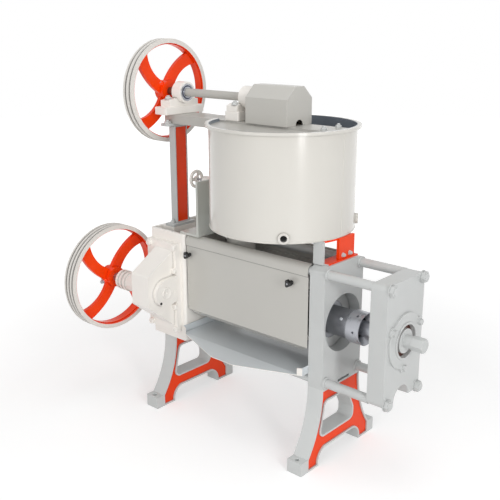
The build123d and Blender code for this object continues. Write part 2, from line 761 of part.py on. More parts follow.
with BuildPart() as gear_case_nose:
    block(nose_flange_span, (nose_root_y, FRAME_FRONT), (NOSE_FLANGE_BOTTOM, NOSE_FLANGE_TOP))
    with BuildSketch(Plane.YZ.offset(nose_left)) as nose_side:
        with BuildLine():
            Polyline(*nose_outline, close=True)
        make_face()
        fillet(nose_side.vertices().group_by(Axis.X)[0], NOSE_CORNER_R)
    extrude(amount=NOSE_WIDTH)
    with BuildSketch(Plane.YZ.offset(nose_right)) as boss_face:
        with Locations((input_y, AXIS_Z)):
            Circle(NOSE_BOSS_R)
        with Locations((nose_root_y, (NOSE_BOSS_ROOT_TOP + NOSE_BOSS_ROOT_BOTTOM) / 2)):
            Rectangle(1, NOSE_BOSS_ROOT_TOP - NOSE_BOSS_ROOT_BOTTOM, align=(Align.MAX, Align.CENTER))
        make_hull()
    extrude(amount=NOSE_BOSS_PROUD)
    bar_x((nose_boss_right, nose_boss_right + NOSE_CAP_PROUD), NOSE_CAP_R, input_y)
    plate_x((nose_left + NOSE_WALL, nose_right - NOSE_WALL), nose_hollow, mode=Mode.SUBTRACT)
    bar_x(nose_bearing_x, INPUT_BEARING_R, input_y, mode=Mode.SUBTRACT)
    bar_x((nose_left, nose_left + NOSE_WALL), INPUT_SHAFT_R + HOUSING_CLEARANCE, input_y, mode=Mode.SUBTRACT)
    for x, z in nose_bolt_places:
        bar_y((nose_root_y, FRAME_FRONT), NOSE_BOLT_R + HOLE_CLEARANCE, x, z, mode=Mode.SUBTRACT)
save(gear_case_nose, "gear_case_nose")

with BuildPart() as nose_bolts:
    for x, z in nose_bolt_places:
        head = (nose_root_y - NOSE_BOLT_HEAD_HEIGHT, nose_root_y)
        hexagon_y(head, NOSE_BOLT_HEAD_FLATS, x, z)
        bar_y((nose_root_y, nose_root_y + NOSE_BOLT_LENGTH - FRAME_WALL), NOSE_BOLT_R, x, z)
save(nose_bolts, "nose_bolts")


# Input shaft, its housing and bearings
housing_left = nose_left - HOUSING_LENGTH
housing_bearing_x = (housing_left + INPUT_BEARING_WIDTH / 2, housing_left + 1.5 * INPUT_BEARING_WIDTH)
lower_pulley_right = housing_left - PULLEY_FROM_HOUSING
lower_pulley_span = (lower_pulley_right - LOWER_PULLEY_WIDTH, lower_pulley_right)
with BuildPart() as input_bearing_housing:
    bar_x((housing_left, nose_left), HOUSING_R, input_y)
    for rib in range(HOUSING_RIBS):
        rib_left = housing_left + rib * HOUSING_RIB_PITCH
        bar_x((rib_left, rib_left + HOUSING_RIB_WIDTH), HOUSING_RIB_R, input_y)
    bar_x((housing_left, nose_left), INPUT_SHAFT_R + HOUSING_CLEARANCE, input_y, mode=Mode.SUBTRACT)
    bar_x((housing_left, housing_bearing_x[1]), INPUT_BEARING_R, input_y, mode=Mode.SUBTRACT)
save(input_bearing_housing, "input_bearing_housing")

with BuildPart() as input_bearings:
    for span in (housing_bearing_x, nose_bearing_x):
        bar_x(span, INPUT_BEARING_R - FIT, input_y)
        bar_x(span, INPUT_SHAFT_R + FIT, input_y, mode=Mode.SUBTRACT)
save(input_bearings, "input_bearings")

with BuildPart() as input_shaft:
    bar_x((lower_pulley_span[0], nose_bearing_x[1] - SHAFT_END_INSET), INPUT_SHAFT_R, input_y)
save(input_shaft, "input_shaft")


def tooth_points(teeth, module, backlash, first_angle, centre=(0.0, 0.0)):
    """Outline of a spur gear with straight flanks at the pressure angle."""
    pitch = module * teeth / 2
    half = pi * module / 4 - backlash / 2
    slope = tan(radians(PRESSURE_ANGLE))
    root = GEAR_DEDENDUM * module
    levels = ((pitch - root, half + root * slope), (pitch + module, half - module * slope))
    points = []
    for tooth in range(teeth):
        angle = first_angle + 360 * tooth / teeth
        for (radius, width), side in ((levels[0], -1), (levels[1], -1), (levels[1], 1), (levels[0], 1)):
            y, z = polar(radius, angle + side * degrees(width / radius))
            points.append((centre[0] + y, centre[1] + z))
    return points


with BuildPart() as input_pinion:
    pinion_span = (gear_middle - PINION_WIDTH / 2, gear_middle + PINION_WIDTH / 2)
    plate_x(
        pinion_span,
        tooth_points(PINION_TEETH, GEAR_MODULE, TOOTH_BACKLASH, 180 / PINION_TEETH, (input_y, AXIS_Z)),
    )
    bar_x(pinion_span, INPUT_SHAFT_R + FIT, input_y, mode=Mode.SUBTRACT)
save(input_pinion, "input_pinion")

with BuildPart() as main_gear:
    plate_x(gear_span, tooth_points(GEAR_TEETH, GEAR_MODULE, TOOTH_BACKLASH, 180, (0.0, AXIS_Z)))
    recess_r = gear_r - GEAR_DEDENDUM * GEAR_MODULE - GEAR_RIM_DEPTH
    web = (gear_middle - GEAR_WEB_THICKNESS / 2, gear_middle + GEAR_WEB_THICKNESS / 2)
    for span in ((gear_span[0], web[0]), (web[1], gear_span[1])):
        bar_x(span, recess_r, mode=Mode.SUBTRACT)
        bar_x(span, GEAR_HUB_R)
    bar_x(gear_span, WORM_SHAFT_R + FIT, mode=Mode.SUBTRACT)
save(main_gear, "main_gear")


# Belt pulleys
def make_pulley(name, left, width, radius, grooves, y, z, shaft_r):
    """A belt pulley with V grooves, an inner rim, curved spokes and a hub."""
    right = left + width
    centre = left + width / 2
    rim_r = radius - PULLEY_RIM_DEPTH
    inner_r = rim_r - INNER_RIM_DEPTH
    pitch = width / grooves
    stations = (
        (PULLEY_HUB_R - SPOKE_ROOT, SPOKE_HUB_ANGLE, SPOKE_HUB_WIDTH),
        ((PULLEY_HUB_R + inner_r) / 2, SPOKE_BEND_ANGLE, SPOKE_BEND_WIDTH),
        (inner_r + INNER_RIM_DEPTH / 2, SPOKE_RIM_ANGLE, SPOKE_RIM_WIDTH),
    )
    profile = [(left, rim_r), (left, radius)]
    for groove in range(grooves):
        groove_x = left + pitch * (groove + 0.5)
        profile.append((groove_x - GROOVE_WIDTH / 2, radius))
        profile.append((groove_x - GROOVE_BOTTOM_WIDTH / 2, radius - GROOVE_DEPTH))
        profile.append((groove_x + GROOVE_BOTTOM_WIDTH / 2, radius - GROOVE_DEPTH))
        profile.append((groove_x + GROOVE_WIDTH / 2, radius))
    profile += [(right, radius), (right, rim_r)]
    profile += [(centre + INNER_RIM_WIDTH / 2, rim_r), (centre + INNER_RIM_WIDTH / 2, inner_r)]
    profile += [(centre - INNER_RIM_WIDTH / 2, inner_r), (centre - INNER_RIM_WIDTH / 2, rim_r)]
    with BuildPart() as pulley:
        turned_x(profile, y, z)
        bar_x((left, right), PULLEY_HUB_R, y, z)
        for spoke in range(SPOKE_COUNT):
            turn = 360 * spoke / SPOKE_COUNT
            with BuildSketch(Plane.YZ.offset(centre - SPOKE_THICKNESS / 2)) as arm:
                with BuildLine():
                    edges = []
                    for side in (-1, 1):
                        edge = []
                        for station_r, station_angle, station_width in stations:
                            half_angle = degrees(asin(station_width / 2 / station_r))
                            edge_y, edge_z = polar(station_r, turn + station_angle + side * half_angle)
                            edge.append((y + edge_y, z + edge_z))
                        edges.append(edge)
                    ThreePointArc(*edges[0])
                    Line(edges[0][2], edges[1][2])
                    ThreePointArc(*edges[1])
                    Line(edges[1][0], edges[0][0])
                make_face()
            extrude(arm.sketch, amount=SPOKE_THICKNESS)
        bar_x((left, right), shaft_r + FIT, y, z, mode=Mode.SUBTRACT)
    save(pulley, name)


make_pulley(
    "lower_pulley",
    lower_pulley_span[0],
    LOWER_PULLEY_WIDTH,
    LOWER_PULLEY_R,
    LOWER_PULLEY_GROOVES,
    input_y,
    AXIS_Z,
    INPUT_SHAFT_R,
)
make_pulley(
    "upper_pulley",
    UPPER_PULLEY_LEFT,
    UPPER_PULLEY_WIDTH,
    UPPER_PULLEY_R,
    UPPER_PULLEY_GROOVES,
    0.0,
    UPPER_AXIS_Z,
    UPPER_SHAFT_R,
)


# Worm shaft with its worms
hex_end = cap_face + STEM_LENGTH + HEX_LENGTH
shaft_profile = [
    (left_bearing_x[0] + SHAFT_END_INSET, 0),
    (left_bearing_x[0] + SHAFT_END_INSET, WORM_SHAFT_R),
    (end_left, WORM_SHAFT_R),
    (end_left, END_SHAFT_R),
    (hex_end - HEX_LENGTH, END_SHAFT_R),
    (hex_end - HEX_LENGTH, 0),
]
hex_corner_r = HEX_FLATS / sqrt(3)
hex_bevel = [
    (hex_end - HEX_CHAMFER, hex_corner_r),
    (hex_end, hex_corner_r - HEX_CHAMFER),
    (hex_end, hex_corner_r),
]
with BuildPart() as worm_shaft:
    turned_x(shaft_profile)
    hexagon_x((hex_end - HEX_LENGTH, hex_end), HEX_FLATS, 0.0, AXIS_Z)
    turned_x(hex_bevel, mode=Mode.SUBTRACT)
save(worm_shaft, "worm_shaft")

worm_zone = (frame_right + FEED_END_WALL + WORM_END_GAP, plate_left - WORM_END_GAP)
worm_pitch = length(worm_zone) / WORM_COUNT
with BuildPart() as worms:
    bar_x(worm_zone, WORM_CORE_R)
    for worm in range(WORM_COUNT):
        flight_left = worm_zone[0] + worm * worm_pitch + WORM_FLIGHT_WIDTH
        flight_run = worm_pitch - 2.5 * WORM_FLIGHT_WIDTH
        with BuildLine() as flight_path:
            Helix(flight_run, flight_run, WORM_CORE_R, center=(flight_left, 0, AXIS_Z), direction=(1, 0, 0))
        start = flight_path.line @ 0
        outward = Vector(0, start.Y, start.Z - AXIS_Z)
        with BuildSketch(Plane(origin=start, x_dir=outward, z_dir=flight_path.line % 0)) as flight_section:
            Rectangle(2 * (WORM_R - WORM_CORE_R), WORM_FLIGHT_WIDTH)
        sweep(flight_section.sketch, path=flight_path.line, is_frenet=True)
    bar_x(worm_zone, WORM_SHAFT_R + FIT, mode=Mode.SUBTRACT)
save(worms, "worms")

with BuildPart() as worm_shaft_nut:
    bar_x((cap_face - LOCK_NUT_WIDTH, cap_face), LOCK_NUT_R)
    bar_x((cap_face - LOCK_NUT_WIDTH, cap_face), END_SHAFT_R + FIT, mode=Mode.SUBTRACT)
save(worm_shaft_nut, "worm_shaft_nut")


# Feed housing, cage and bars
with BuildPart() as feed_housing:
    bar_x((frame_right, cage_left), FEED_HOUSING_R)
    bar_z((AXIS_Z, THROAT_TOP), CHUTE_R, chute_x)
    bar_z((THROAT_TOP - CHUTE_FLANGE_THICKNESS, THROAT_TOP), CHUTE_FLANGE_R, chute_x)
    bar_x((frame_right + FEED_END_WALL, cage_left), FEED_BORE_R, mode=Mode.SUBTRACT)
    bar_x((frame_right, frame_right + FEED_END_WALL), WORM_SHAFT_R + HOLE_CLEARANCE, mode=Mode.SUBTRACT)
    bar_z((AXIS_Z, THROAT_TOP), FEED_BORE_R, chute_x, mode=Mode.SUBTRACT)
save(feed_housing, "feed_housing")


def cage_half(side, name):
    """Half of the split cage, above the axis for side 1 and below it for side -1."""
    cage = (cage_left, plate_left)
    pitch = length(cage) / CAGE_RIBS
    split = AXIS_Z + side * CAGE_SPLIT / 2
    outer = AXIS_Z + side * (CAGE_RIB_R + CUT_MARGIN)
    heights = (min(split, outer), max(split, outer))
    flange = AXIS_Z + side * CAGE_FLANGE_THICKNESS
    with BuildPart() as half:
        bar_x(cage, CAGE_R)
        for rib in range(CAGE_RIBS):
            rib_middle = cage[0] + pitch * (rib + 0.5)
            bar_x((rib_middle - CAGE_RIB_WIDTH / 2, rib_middle + CAGE_RIB_WIDTH / 2), CAGE_RIB_R)
        block(cage, (-CAGE_FLANGE_REACH, CAGE_FLANGE_REACH), (min(AXIS_Z, flange), max(AXIS_Z, flange)))
        block(cage, (-CAGE_FLANGE_REACH, CAGE_FLANGE_REACH), heights, mode=Mode.INTERSECT)
        bar_x(cage, CAGE_BORE_R, mode=Mode.SUBTRACT)
        for slot in range(CAGE_RIBS + 1):
            slot_middle = cage[0] + pitch * slot
            if cage[0] < slot_middle < cage[1]:
                block(
                    (slot_middle - CAGE_SLOT_WIDTH / 2, slot_middle + CAGE_SLOT_WIDTH / 2),
                    (-CAGE_BORE_R / 2, CAGE_BORE_R / 2),
                    (min(AXIS_Z, outer), max(AXIS_Z, outer)),
                    mode=Mode.SUBTRACT,
                )
        for x, y in cage_bolt_places:
            bar_z(heights, CAGE_BOLT_R + HOLE_CLEARANCE, x, y, mode=Mode.SUBTRACT)
    save(half, name)


cage_bolt_pitch = (plate_left - cage_left) / CAGE_BOLTS
cage_bolt_y = (CAGE_RIB_R + CAGE_FLANGE_REACH) / 2
cage_bolt_places = [
    (cage_left + cage_bolt_pitch * (bolt + 0.5), side * cage_bolt_y)
    for bolt in range(CAGE_BOLTS)
    for side in (-1, 1)
]
cage_half(1, "cage_upper_half")
cage_half(-1, "cage_lower_half")

with BuildPart() as cage_bolts:
    for x, y in cage_bolt_places:
        top = AXIS_Z + CAGE_FLANGE_THICKNESS
        bottom = AXIS_Z - CAGE_FLANGE_THICKNESS
        bar_z((bottom, top), CAGE_BOLT_R, x, y)
        hexagon_z((top, top + CAGE_BOLT_HEAD_HEIGHT), CAGE_BOLT_HEAD_FLATS, x, y)
        hexagon_z((bottom - CAGE_BOLT_HEAD_HEIGHT, bottom), CAGE_BOLT_HEAD_FLATS, x, y)
save(cage_bolts, "cage_bolts")

with BuildPart() as cage_bars:
    bar_outer_r = CAGE_BORE_R - FIT - CAGE_BAR_CLEARANCE
    bar_inner_r = CAGE_BORE_R - CAGE_BAR_DEPTH
    for bar in range(CAGE_BAR_COUNT):
        angle = 360 * bar / CAGE_BAR_COUNT
        corners = []
        for radius, side in ((bar_inner_r, -1), (bar_outer_r, -1), (bar_outer_r, 1), (bar_inner_r, 1)):
            half_angle = 180 / CAGE_BAR_COUNT - degrees(CAGE_BAR_GAP / 2 / radius)
            y, z = polar(radius, angle + side * half_angle)
            corners.append((y, AXIS_Z + z))
        plate_x((cage_left, plate_left), corners)
save(cage_bars, "cage_bars")


# Thrust plate and end plate
with BuildPart() as thrust_plate:
    with BuildSketch(Plane.YZ.offset(plate_left)) as thrust_face:
        with Locations((0, (STAND_HEIGHT + THRUST_PLATE_TOP) / 2)):
            Rectangle(2 * PLATE_HALF_WIDTH, THRUST_PLATE_TOP - STAND_HEIGHT)
        fillet(thrust_face.vertices().group_by(Axis.Y)[-1], THRUST_CORNER_R)
    extrude(amount=PLATE_THICKNESS)
    bar_x((plate_left, plate_right), PILOT_R, mode=Mode.SUBTRACT)
    bar_x((plate_left + PILOT_DEPTH, plate_right), THRUST_BORE_R, mode=Mode.SUBTRACT)
    for y, z in rod_places:
        bar_x((plate_left, plate_right), ROD_R + HOLE_CLEARANCE, y, z, mode=Mode.SUBTRACT)
    block(
        (plate_left, plate_right),
        (SLOT_FRONT, SLOT_REAR),
        (STAND_HEIGHT, STAND_HEIGHT + SLOT_HEIGHT),
        mode=Mode.SUBTRACT,
    )
save(thrust_plate, "thrust_plate")

cap_bolt_places = []
for bolt in range(CAP_BOLT_COUNT):
    bolt_y, bolt_z = polar(CAP_BOLT_CIRCLE_R, CAP_BOLT_FIRST_ANGLE + 360 * bolt / CAP_BOLT_COUNT)
    cap_bolt_places.append((bolt_y, AXIS_Z + bolt_z))
with BuildPart() as end_plate:
    with BuildSketch(Plane.YZ.offset(end_left)) as end_face:
        with Locations((0, (END_PLATE_BOTTOM + END_PLATE_TOP) / 2)):
            Rectangle(2 * PLATE_HALF_WIDTH, END_PLATE_TOP - END_PLATE_BOTTOM)
        fillet(end_face.vertices(), END_CORNER_R)
        with Locations((0, END_PLATE_BOTTOM)):
            Circle(END_ARCH_R, mode=Mode.SUBTRACT)
    extrude(amount=PLATE_THICKNESS)
    bar_x((end_left, end_right), WORM_SHAFT_R + HOLE_CLEARANCE, mode=Mode.SUBTRACT)
    bar_x((end_left + END_WALL, end_right), END_BEARING_R, mode=Mode.SUBTRACT)
    for y, z in rod_places:
        bar_x((end_left, end_right), ROD_END_R + HOLE_CLEARANCE, y, z, mode=Mode.SUBTRACT)
    for y, z in cap_bolt_places:
        bar_x((end_right - CAP_BOLT_LENGTH, end_right), CAP_BOLT_R + FIT, y, z, mode=Mode.SUBTRACT)
save(end_plate, "end_plate")

end_bearing_x = (end_left + END_WALL, end_left + END_WALL + END_BEARING_WIDTH)
with BuildPart() as end_bearing:
    bar_x(end_bearing_x, END_BEARING_R - FIT)
    bar_x(end_bearing_x, END_SHAFT_R + FIT, mode=Mode.SUBTRACT)
save(end_bearing, "end_bearing")

with BuildPart() as end_bearing_cap:
    bar_x((end_right, cap_face), CAP_R)
    bar_x((cap_face, cap_face + CAP_RING_RISE), CAP_RING_R)
    bar_x((end_right, cap_face + CAP_RING_RISE), CAP_HOLE_R, mode=Mode.SUBTRACT)
    for y, z in cap_bolt_places:
        bar_x((end_right, cap_face), CAP_LOBE_R, y, z)
        bar_x((end_right, cap_face), CAP_BOLT_R + HOLE_CLEARANCE, y, z, mode=Mode.SUBTRACT)
save(end_bearing_cap, "end_bearing_cap")

with BuildPart() as end_cap_bolts:
    for y, z in cap_bolt_places:
        hexagon_x((cap_face, cap_face + CAP_BOLT_HEAD_HEIGHT), CAP_BOLT_HEAD_FLATS, y, z)
        bar_x((end_right - CAP_BOLT_LENGTH + GAP, cap_face), CAP_BOLT_R, y, z)
save(end_cap_bolts, "end_cap_bolts")


# Tie rods
rod_end = end_right + ROD_WASHER_THICKNESS + ROD_NUT_HEIGHT + ROD_STUD_OUT
with BuildPart() as tie_rods:
    for y, z in rod_places:
        bar_x((frame_right - ROD_THREAD_LENGTH, end_left), ROD_R, y, z)
        bar_x((end_left, rod_end), ROD_END_R, y, z)
save(tie_rods, "tie_rods")

with BuildPart() as rod_nuts:
    for y, z in rod_places:
        washer = (end_right, end_right + ROD_WASHER_THICKNESS)
        bar_x(washer, ROD_WASHER_R, y, z)
        hexagon_x((washer[1], washer[1] + ROD_NUT_HEIGHT), ROD_NUT_FLATS, y, z)
        bar_x((end_right, rod_end), ROD_END_R + FIT, y, z, mode=Mode.SUBTRACT)
save(rod_nuts, "rod_nuts")

with BuildPart() as rod_collars:
    for y, z in rod_places:
        span = (plate_right, plate_right + ROD_COLLAR_LENGTH)
        bar_x(span, ROD_WASHER_R, y, z)
        bar_x(span, ROD_R + FIT, y, z, mode=Mode.SUBTRACT)
save(rod_collars, "rod_collars")


# Choke at the cake outlet
sleeve_end = plate_left + SLEEVE_LENGTH
collar_span = (plate_right + COLLAR_FROM_PLATE, plate_right + COLLAR_FROM_PLATE + COLLAR_WIDTH)
ring_span = (collar_span[1] + GAP, collar_span[1] + GAP + RING_WIDTH)
with BuildPart() as choke_body:
    bar_x((plate_left, plate_left + PILOT_DEPTH), CHOKE_FLANGE_R)
    bar_x((plate_left, sleeve_end), SLEEVE_R)
    bar_x((plate_left, sleeve_end), SLEEVE_BORE_R, mode=Mode.SUBTRACT)
save(choke_body, "choke_body")

with BuildPart() as choke_collar:
    bar_x(collar_span, COLLAR_R)
    bar_x(collar_span, SLEEVE_R + FIT, mode=Mode.SUBTRACT)
save(choke_collar, "choke_collar")

ring_profile = [
    (ring_span[0], SLEEVE_R + GAP),
    (ring_span[0], RING_R),
    (ring_span[1], RING_R),
    (ring_span[1], MOUTH_R),
    (ring_span[1] - MOUTH_DEPTH, MOUTH_NECK_R),
    (ring_span[1] - MOUTH_DEPTH - MOUTH_NECK, MOUTH_NECK_R),
    (ring_span[1] - MOUTH_DEPTH - MOUTH_NECK, SLEEVE_R + GAP),
]
with BuildPart() as choke_ring:
    turned_x(ring_profile)
    for hole in range(TOMMY_HOLES):
        angle = 360 * hole / TOMMY_HOLES
        hole_y, hole_z = polar(RING_R - TOMMY_HOLE_DEPTH, angle)
        out_y, out_z = polar(1, angle)
        hole_origin = (ring_span[1] - TOMMY_FROM_MOUTH, hole_y, AXIS_Z + hole_z)
        with BuildSketch(Plane(origin=hole_origin, x_dir=(1, 0, 0), z_dir=(0, out_y, out_z))) as hole_face:
            Circle(TOMMY_HOLE_R)
        extrude(hole_face.sketch, amount=2 * TOMMY_HOLE_DEPTH, mode=Mode.SUBTRACT)
save(choke_ring, "choke_ring")


# Front cover, swinging about the front top rod
cover_x = (frame_right + COVER_LEFT_GAP, plate_left - COVER_RIGHT_GAP)
rod_y = -ROD_HALF_Y
hook_inner_r = ROD_R + GAP
hook_outer_r = hook_inner_r + COVER_SHEET
hook_lefts = (cover_x[0] + LEFT_HOOK_INSET, cover_x[1] - RIGHT_HOOK_INSET - HOOK_WIDTH)
knob_xs = (cover_x[0] + LEFT_KNOB_INSET, cover_x[1] - RIGHT_KNOB_INSET)
with BuildPart() as front_cover:
    block(cover_x, (cover_face, cover_face + COVER_SHEET), (COVER_BOTTOM, COVER_TOP))
    fold_slope = FOLD_DROP / FOLD_REACH
    fold_outer = [
        (cover_face, COVER_BOTTOM),
        (cover_face + FOLD_REACH, COVER_BOTTOM - FOLD_DROP),
        (cover_face + FOLD_REACH, COVER_BOTTOM - FOLD_DROP + COVER_SHEET * sqrt(1 + fold_slope**2)),
        (cover_face + COVER_SHEET, COVER_BOTTOM + COVER_SHEET),
        (cover_face, COVER_BOTTOM + COVER_SHEET),
    ]
    plate_x(cover_x, fold_outer)
    for edge, inward in ((cover_x[0], 1), (cover_x[1], -1)):
        corner_z = COVER_BOTTOM - FOLD_DROP - CUT_MARGIN
        corner = [
            (edge, COVER_BOTTOM),
            (edge - inward * CUT_MARGIN, corner_z),
            (edge + inward * FOLD_SLANT, corner_z),
        ]
        fold_y = (cover_face - CUT_MARGIN, cover_face + FOLD_REACH + CUT_MARGIN)
        plate_y(fold_y, corner, mode=Mode.SUBTRACT)
    for hook_left in hook_lefts:
        strap_x = (hook_left, hook_left + HOOK_WIDTH)
        block(strap_x, (cover_face, cover_face + COVER_SHEET), (COVER_TOP, rod_top_z))
        with BuildSketch(Plane.YZ.offset(hook_left)) as hook:
            with Locations((rod_y, rod_top_z)):
                Circle(hook_outer_r)
                Circle(hook_inner_r, mode=Mode.SUBTRACT)
            with BuildLine(mode=Mode.PRIVATE) as mouth:
                reach = 2 * hook_outer_r
                tail_y, tail_z = polar(reach, -HOOK_END_ANGLE)
                Polyline(
                    (rod_y, rod_top_z),
                    (rod_y - reach, rod_top_z),
                    (rod_y - reach, rod_top_z - reach),
                    (rod_y + tail_y, rod_top_z - reach),
                    (rod_y + tail_y, rod_top_z + tail_z),
                    close=True,
                )
            make_face(mouth.edges(), mode=Mode.SUBTRACT)
        extrude(hook.sketch, amount=HOOK_WIDTH)
    for knob_x in knob_xs:
        bar_y((cover_face, cover_face + COVER_SHEET), KNOB_STUD_R + FIT, knob_x, KNOB_Z, mode=Mode.SUBTRACT)
save(front_cover, "front_cover")

stay_front = cover_face + FOLD_REACH / 2 + STAY_BAR_BEHIND_FOLD
stay_y = (stay_front, stay_front + STAY_BAR_THICKNESS)
with BuildPart() as cover_stay_bar:
    block((frame_right, plate_left), stay_y, (KNOB_Z - STAY_BAR_HEIGHT / 2, KNOB_Z + STAY_BAR_HEIGHT / 2))
save(cover_stay_bar, "cover_stay_bar")

guard_y = ROD_HALF_Y + ROD_R + GAP
with BuildPart() as rear_guard:
    block(cover_x, (guard_y, guard_y + COVER_SHEET), (REAR_GUARD_BOTTOM, REAR_GUARD_TOP))
    block(
        (frame_right, plate_left),
        (guard_y - STAY_BAR_THICKNESS, guard_y),
        (KNOB_Z - STAY_BAR_HEIGHT / 2, KNOB_Z + STAY_BAR_HEIGHT / 2),
    )
save(rear_guard, "rear_guard")

for knob_x, name in zip(knob_xs, ("cover_knob_left", "cover_knob_right")):
    neck_end = cover_face - GAP / 3 - KNOB_NECK
    with BuildPart() as knob:
        bar_y((neck_end - KNOB_HEAD, neck_end), KNOB_R, knob_x, KNOB_Z)
        head_rim = knob.edges().filter_by(GeomType.CIRCLE)
        chamfer(head_rim, KNOB_CHAMFER)
        bar_y((neck_end, cover_face - GAP / 3), KNOB_NECK_R, knob_x, KNOB_Z)
        bar_y((neck_end, stay_y[0] - GAP), KNOB_STUD_R, knob_x, KNOB_Z)
    save(knob, name)


# Oil tray with its pouring lip, on two bars over the lower rods
tray_x = (frame_right + TRAY_LEFT_GAP, plate_left - GAP)
lip_slope = (TRAY_FLOOR - TRAY_LIP_Z) / (TRAY_FRONT - TRAY_LIP_Y)


def tray_form(inset, floor, lip_floor, top):
    """The tray's outer form, or the hollow inside it, by how far it lies inside the outline."""
    past_lip = TRAY_HOLLOW_MARGIN if inset else 0
    lip_y = TRAY_LIP_Y - past_lip
    lip_rise = top - floor if inset else TRAY_LIP_HEIGHT
    side = [
        (TRAY_REAR - inset, floor),
        (TRAY_REAR - inset, top),
        (TRAY_FRONT, top),
        (lip_y, lip_floor - lip_slope * past_lip + lip_rise),
        (lip_y, lip_floor - lip_slope * past_lip),
        (TRAY_FRONT, floor),
    ]
    plan = [
        (tray_x[0] + inset, TRAY_REAR - inset),
        (tray_x[1] - inset, TRAY_REAR - inset),
        (tray_x[1] - inset, TRAY_FRONT),
        (TRAY_LIP_RIGHT - inset, lip_y),
        (TRAY_LIP_LEFT + inset, lip_y),
        (tray_x[0] + inset, TRAY_FRONT),
    ]
    with BuildPart() as form:
        plate_x(tray_x, side)
        plate_z((TRAY_LIP_Z - TRAY_CUT_MARGIN, TRAY_RIM_TOP + TRAY_CUT_MARGIN), plan, mode=Mode.INTERSECT)
    return form.part


with BuildPart() as oil_tray:
    add(tray_form(0, TRAY_FLOOR - TRAY_SHEET, TRAY_LIP_Z - TRAY_SHEET, TRAY_RIM_TOP))
    hollow_top = TRAY_RIM_TOP + 2 * TRAY_HOLLOW_MARGIN
    add(tray_form(TRAY_SHEET, TRAY_FLOOR, TRAY_LIP_Z, hollow_top), mode=Mode.SUBTRACT)
save(oil_tray, "oil_tray")

rod_bottom_top = AXIS_Z - ROD_HALF_Z + ROD_R
with BuildPart() as tray_bars:
    for side in (-1, 1):
        bar_middle = middle(tray_x) + side * TRAY_BAR_SPACING / 2
        block(
            (bar_middle - TRAY_BAR_WIDTH / 2, bar_middle + TRAY_BAR_WIDTH / 2),
            (-PLATE_HALF_WIDTH, PLATE_HALF_WIDTH),
            (rod_bottom_top, TRAY_FLOOR - TRAY_SHEET),
        )
save(tray_bars, "tray_bars")


# Kettle
with BuildPart() as kettle_shell:
    turned_z(
        [
            (kettle_inner_r, KETTLE_BOTTOM),
            (KETTLE_R, KETTLE_BOTTOM),
            (KETTLE_R, KETTLE_TOP - BEAD_HEIGHT),
            (BEAD_R, KETTLE_TOP - BEAD_HEIGHT),
            (BEAD_R, KETTLE_TOP),
            (kettle_inner_r, KETTLE_TOP),
        ],
        KETTLE_X,
    )
    for angle, z in ((DRAIN_ANGLE, DRAIN_Z), (SIDE_SOCKET_ANGLE, SIDE_SOCKET_Z)):
        out_x, out_y = polar(1, angle)
        socket_plane = Plane(
            origin=(KETTLE_X + kettle_inner_r * out_x, kettle_inner_r * out_y, z),
            x_dir=(0, 0, 1),
            z_dir=(out_x, out_y, 0),
        )
        with BuildSketch(socket_plane) as socket_face:
            Circle(SOCKET_R)
        extrude(socket_face.sketch, amount=KETTLE_WALL + SOCKET_REACH)
        with BuildSketch(socket_plane) as socket_bore:
            Circle(SOCKET_BORE_R)
        extrude(socket_bore.sketch, amount=KETTLE_WALL + SOCKET_REACH, both=True, mode=Mode.SUBTRACT)
    bar_z((KETTLE_BOTTOM, KETTLE_TOP), kettle_inner_r, KETTLE_X, mode=Mode.SUBTRACT)
    block(
        (KETTLE_X - BEAD_R - KETTLE_SLOT_MARGIN, KETTLE_X),
        (-BEAM_HALF_WIDTH - GAP, BEAM_HALF_WIDTH + GAP),
        (beam_bottom - GAP, KETTLE_TOP),
        mode=Mode.SUBTRACT,
    )
    bar_x((KETTLE_X - BEAD_R, KETTLE_X), VALVE_PIPE_R + FIT, 0.0, VALVE_Z, mode=Mode.SUBTRACT)
save(kettle_shell, "kettle_shell")

with BuildPart() as kettle_liner:
    turned_z(
        [
            (LINER_R, LINER_BOTTOM),
            (kettle_inner_r, LINER_BOTTOM),
            (kettle_inner_r, LINER_BOTTOM + LINER_WALL),
            (LINER_R + LINER_WALL, LINER_BOTTOM + LINER_WALL),
            (LINER_R + LINER_WALL, LINER_TOP - LINER_WALL),
            (kettle_inner_r, LINER_TOP - LINER_WALL),
            (kettle_inner_r, LINER_TOP),
            (LINER_R, LINER_TOP),
        ],
        KETTLE_X,
    )
save(kettle_liner, "kettle_liner")

with BuildPart() as kettle_base:
    bar_z((KETTLE_BOTTOM, kettle_floor), kettle_inner_r, KETTLE_X)
    bar_z((KETTLE_BOTTOM, kettle_floor), CHUTE_BORE_R, chute_x, mode=Mode.SUBTRACT)
save(kettle_base, "kettle_base")

with BuildPart() as kettle_lid:
    bar_z((beam_bottom, beam_bottom + LID_THICKNESS), kettle_inner_r - GAP, KETTLE_X)
    block(
        (KETTLE_X - KETTLE_R, KETTLE_X + KETTLE_R),
        (-KETTLE_R, -BEAM_HALF_WIDTH - GAP),
        (beam_bottom, beam_bottom + LID_THICKNESS),
        mode=Mode.INTERSECT,
    )
save(kettle_lid, "kettle_lid")


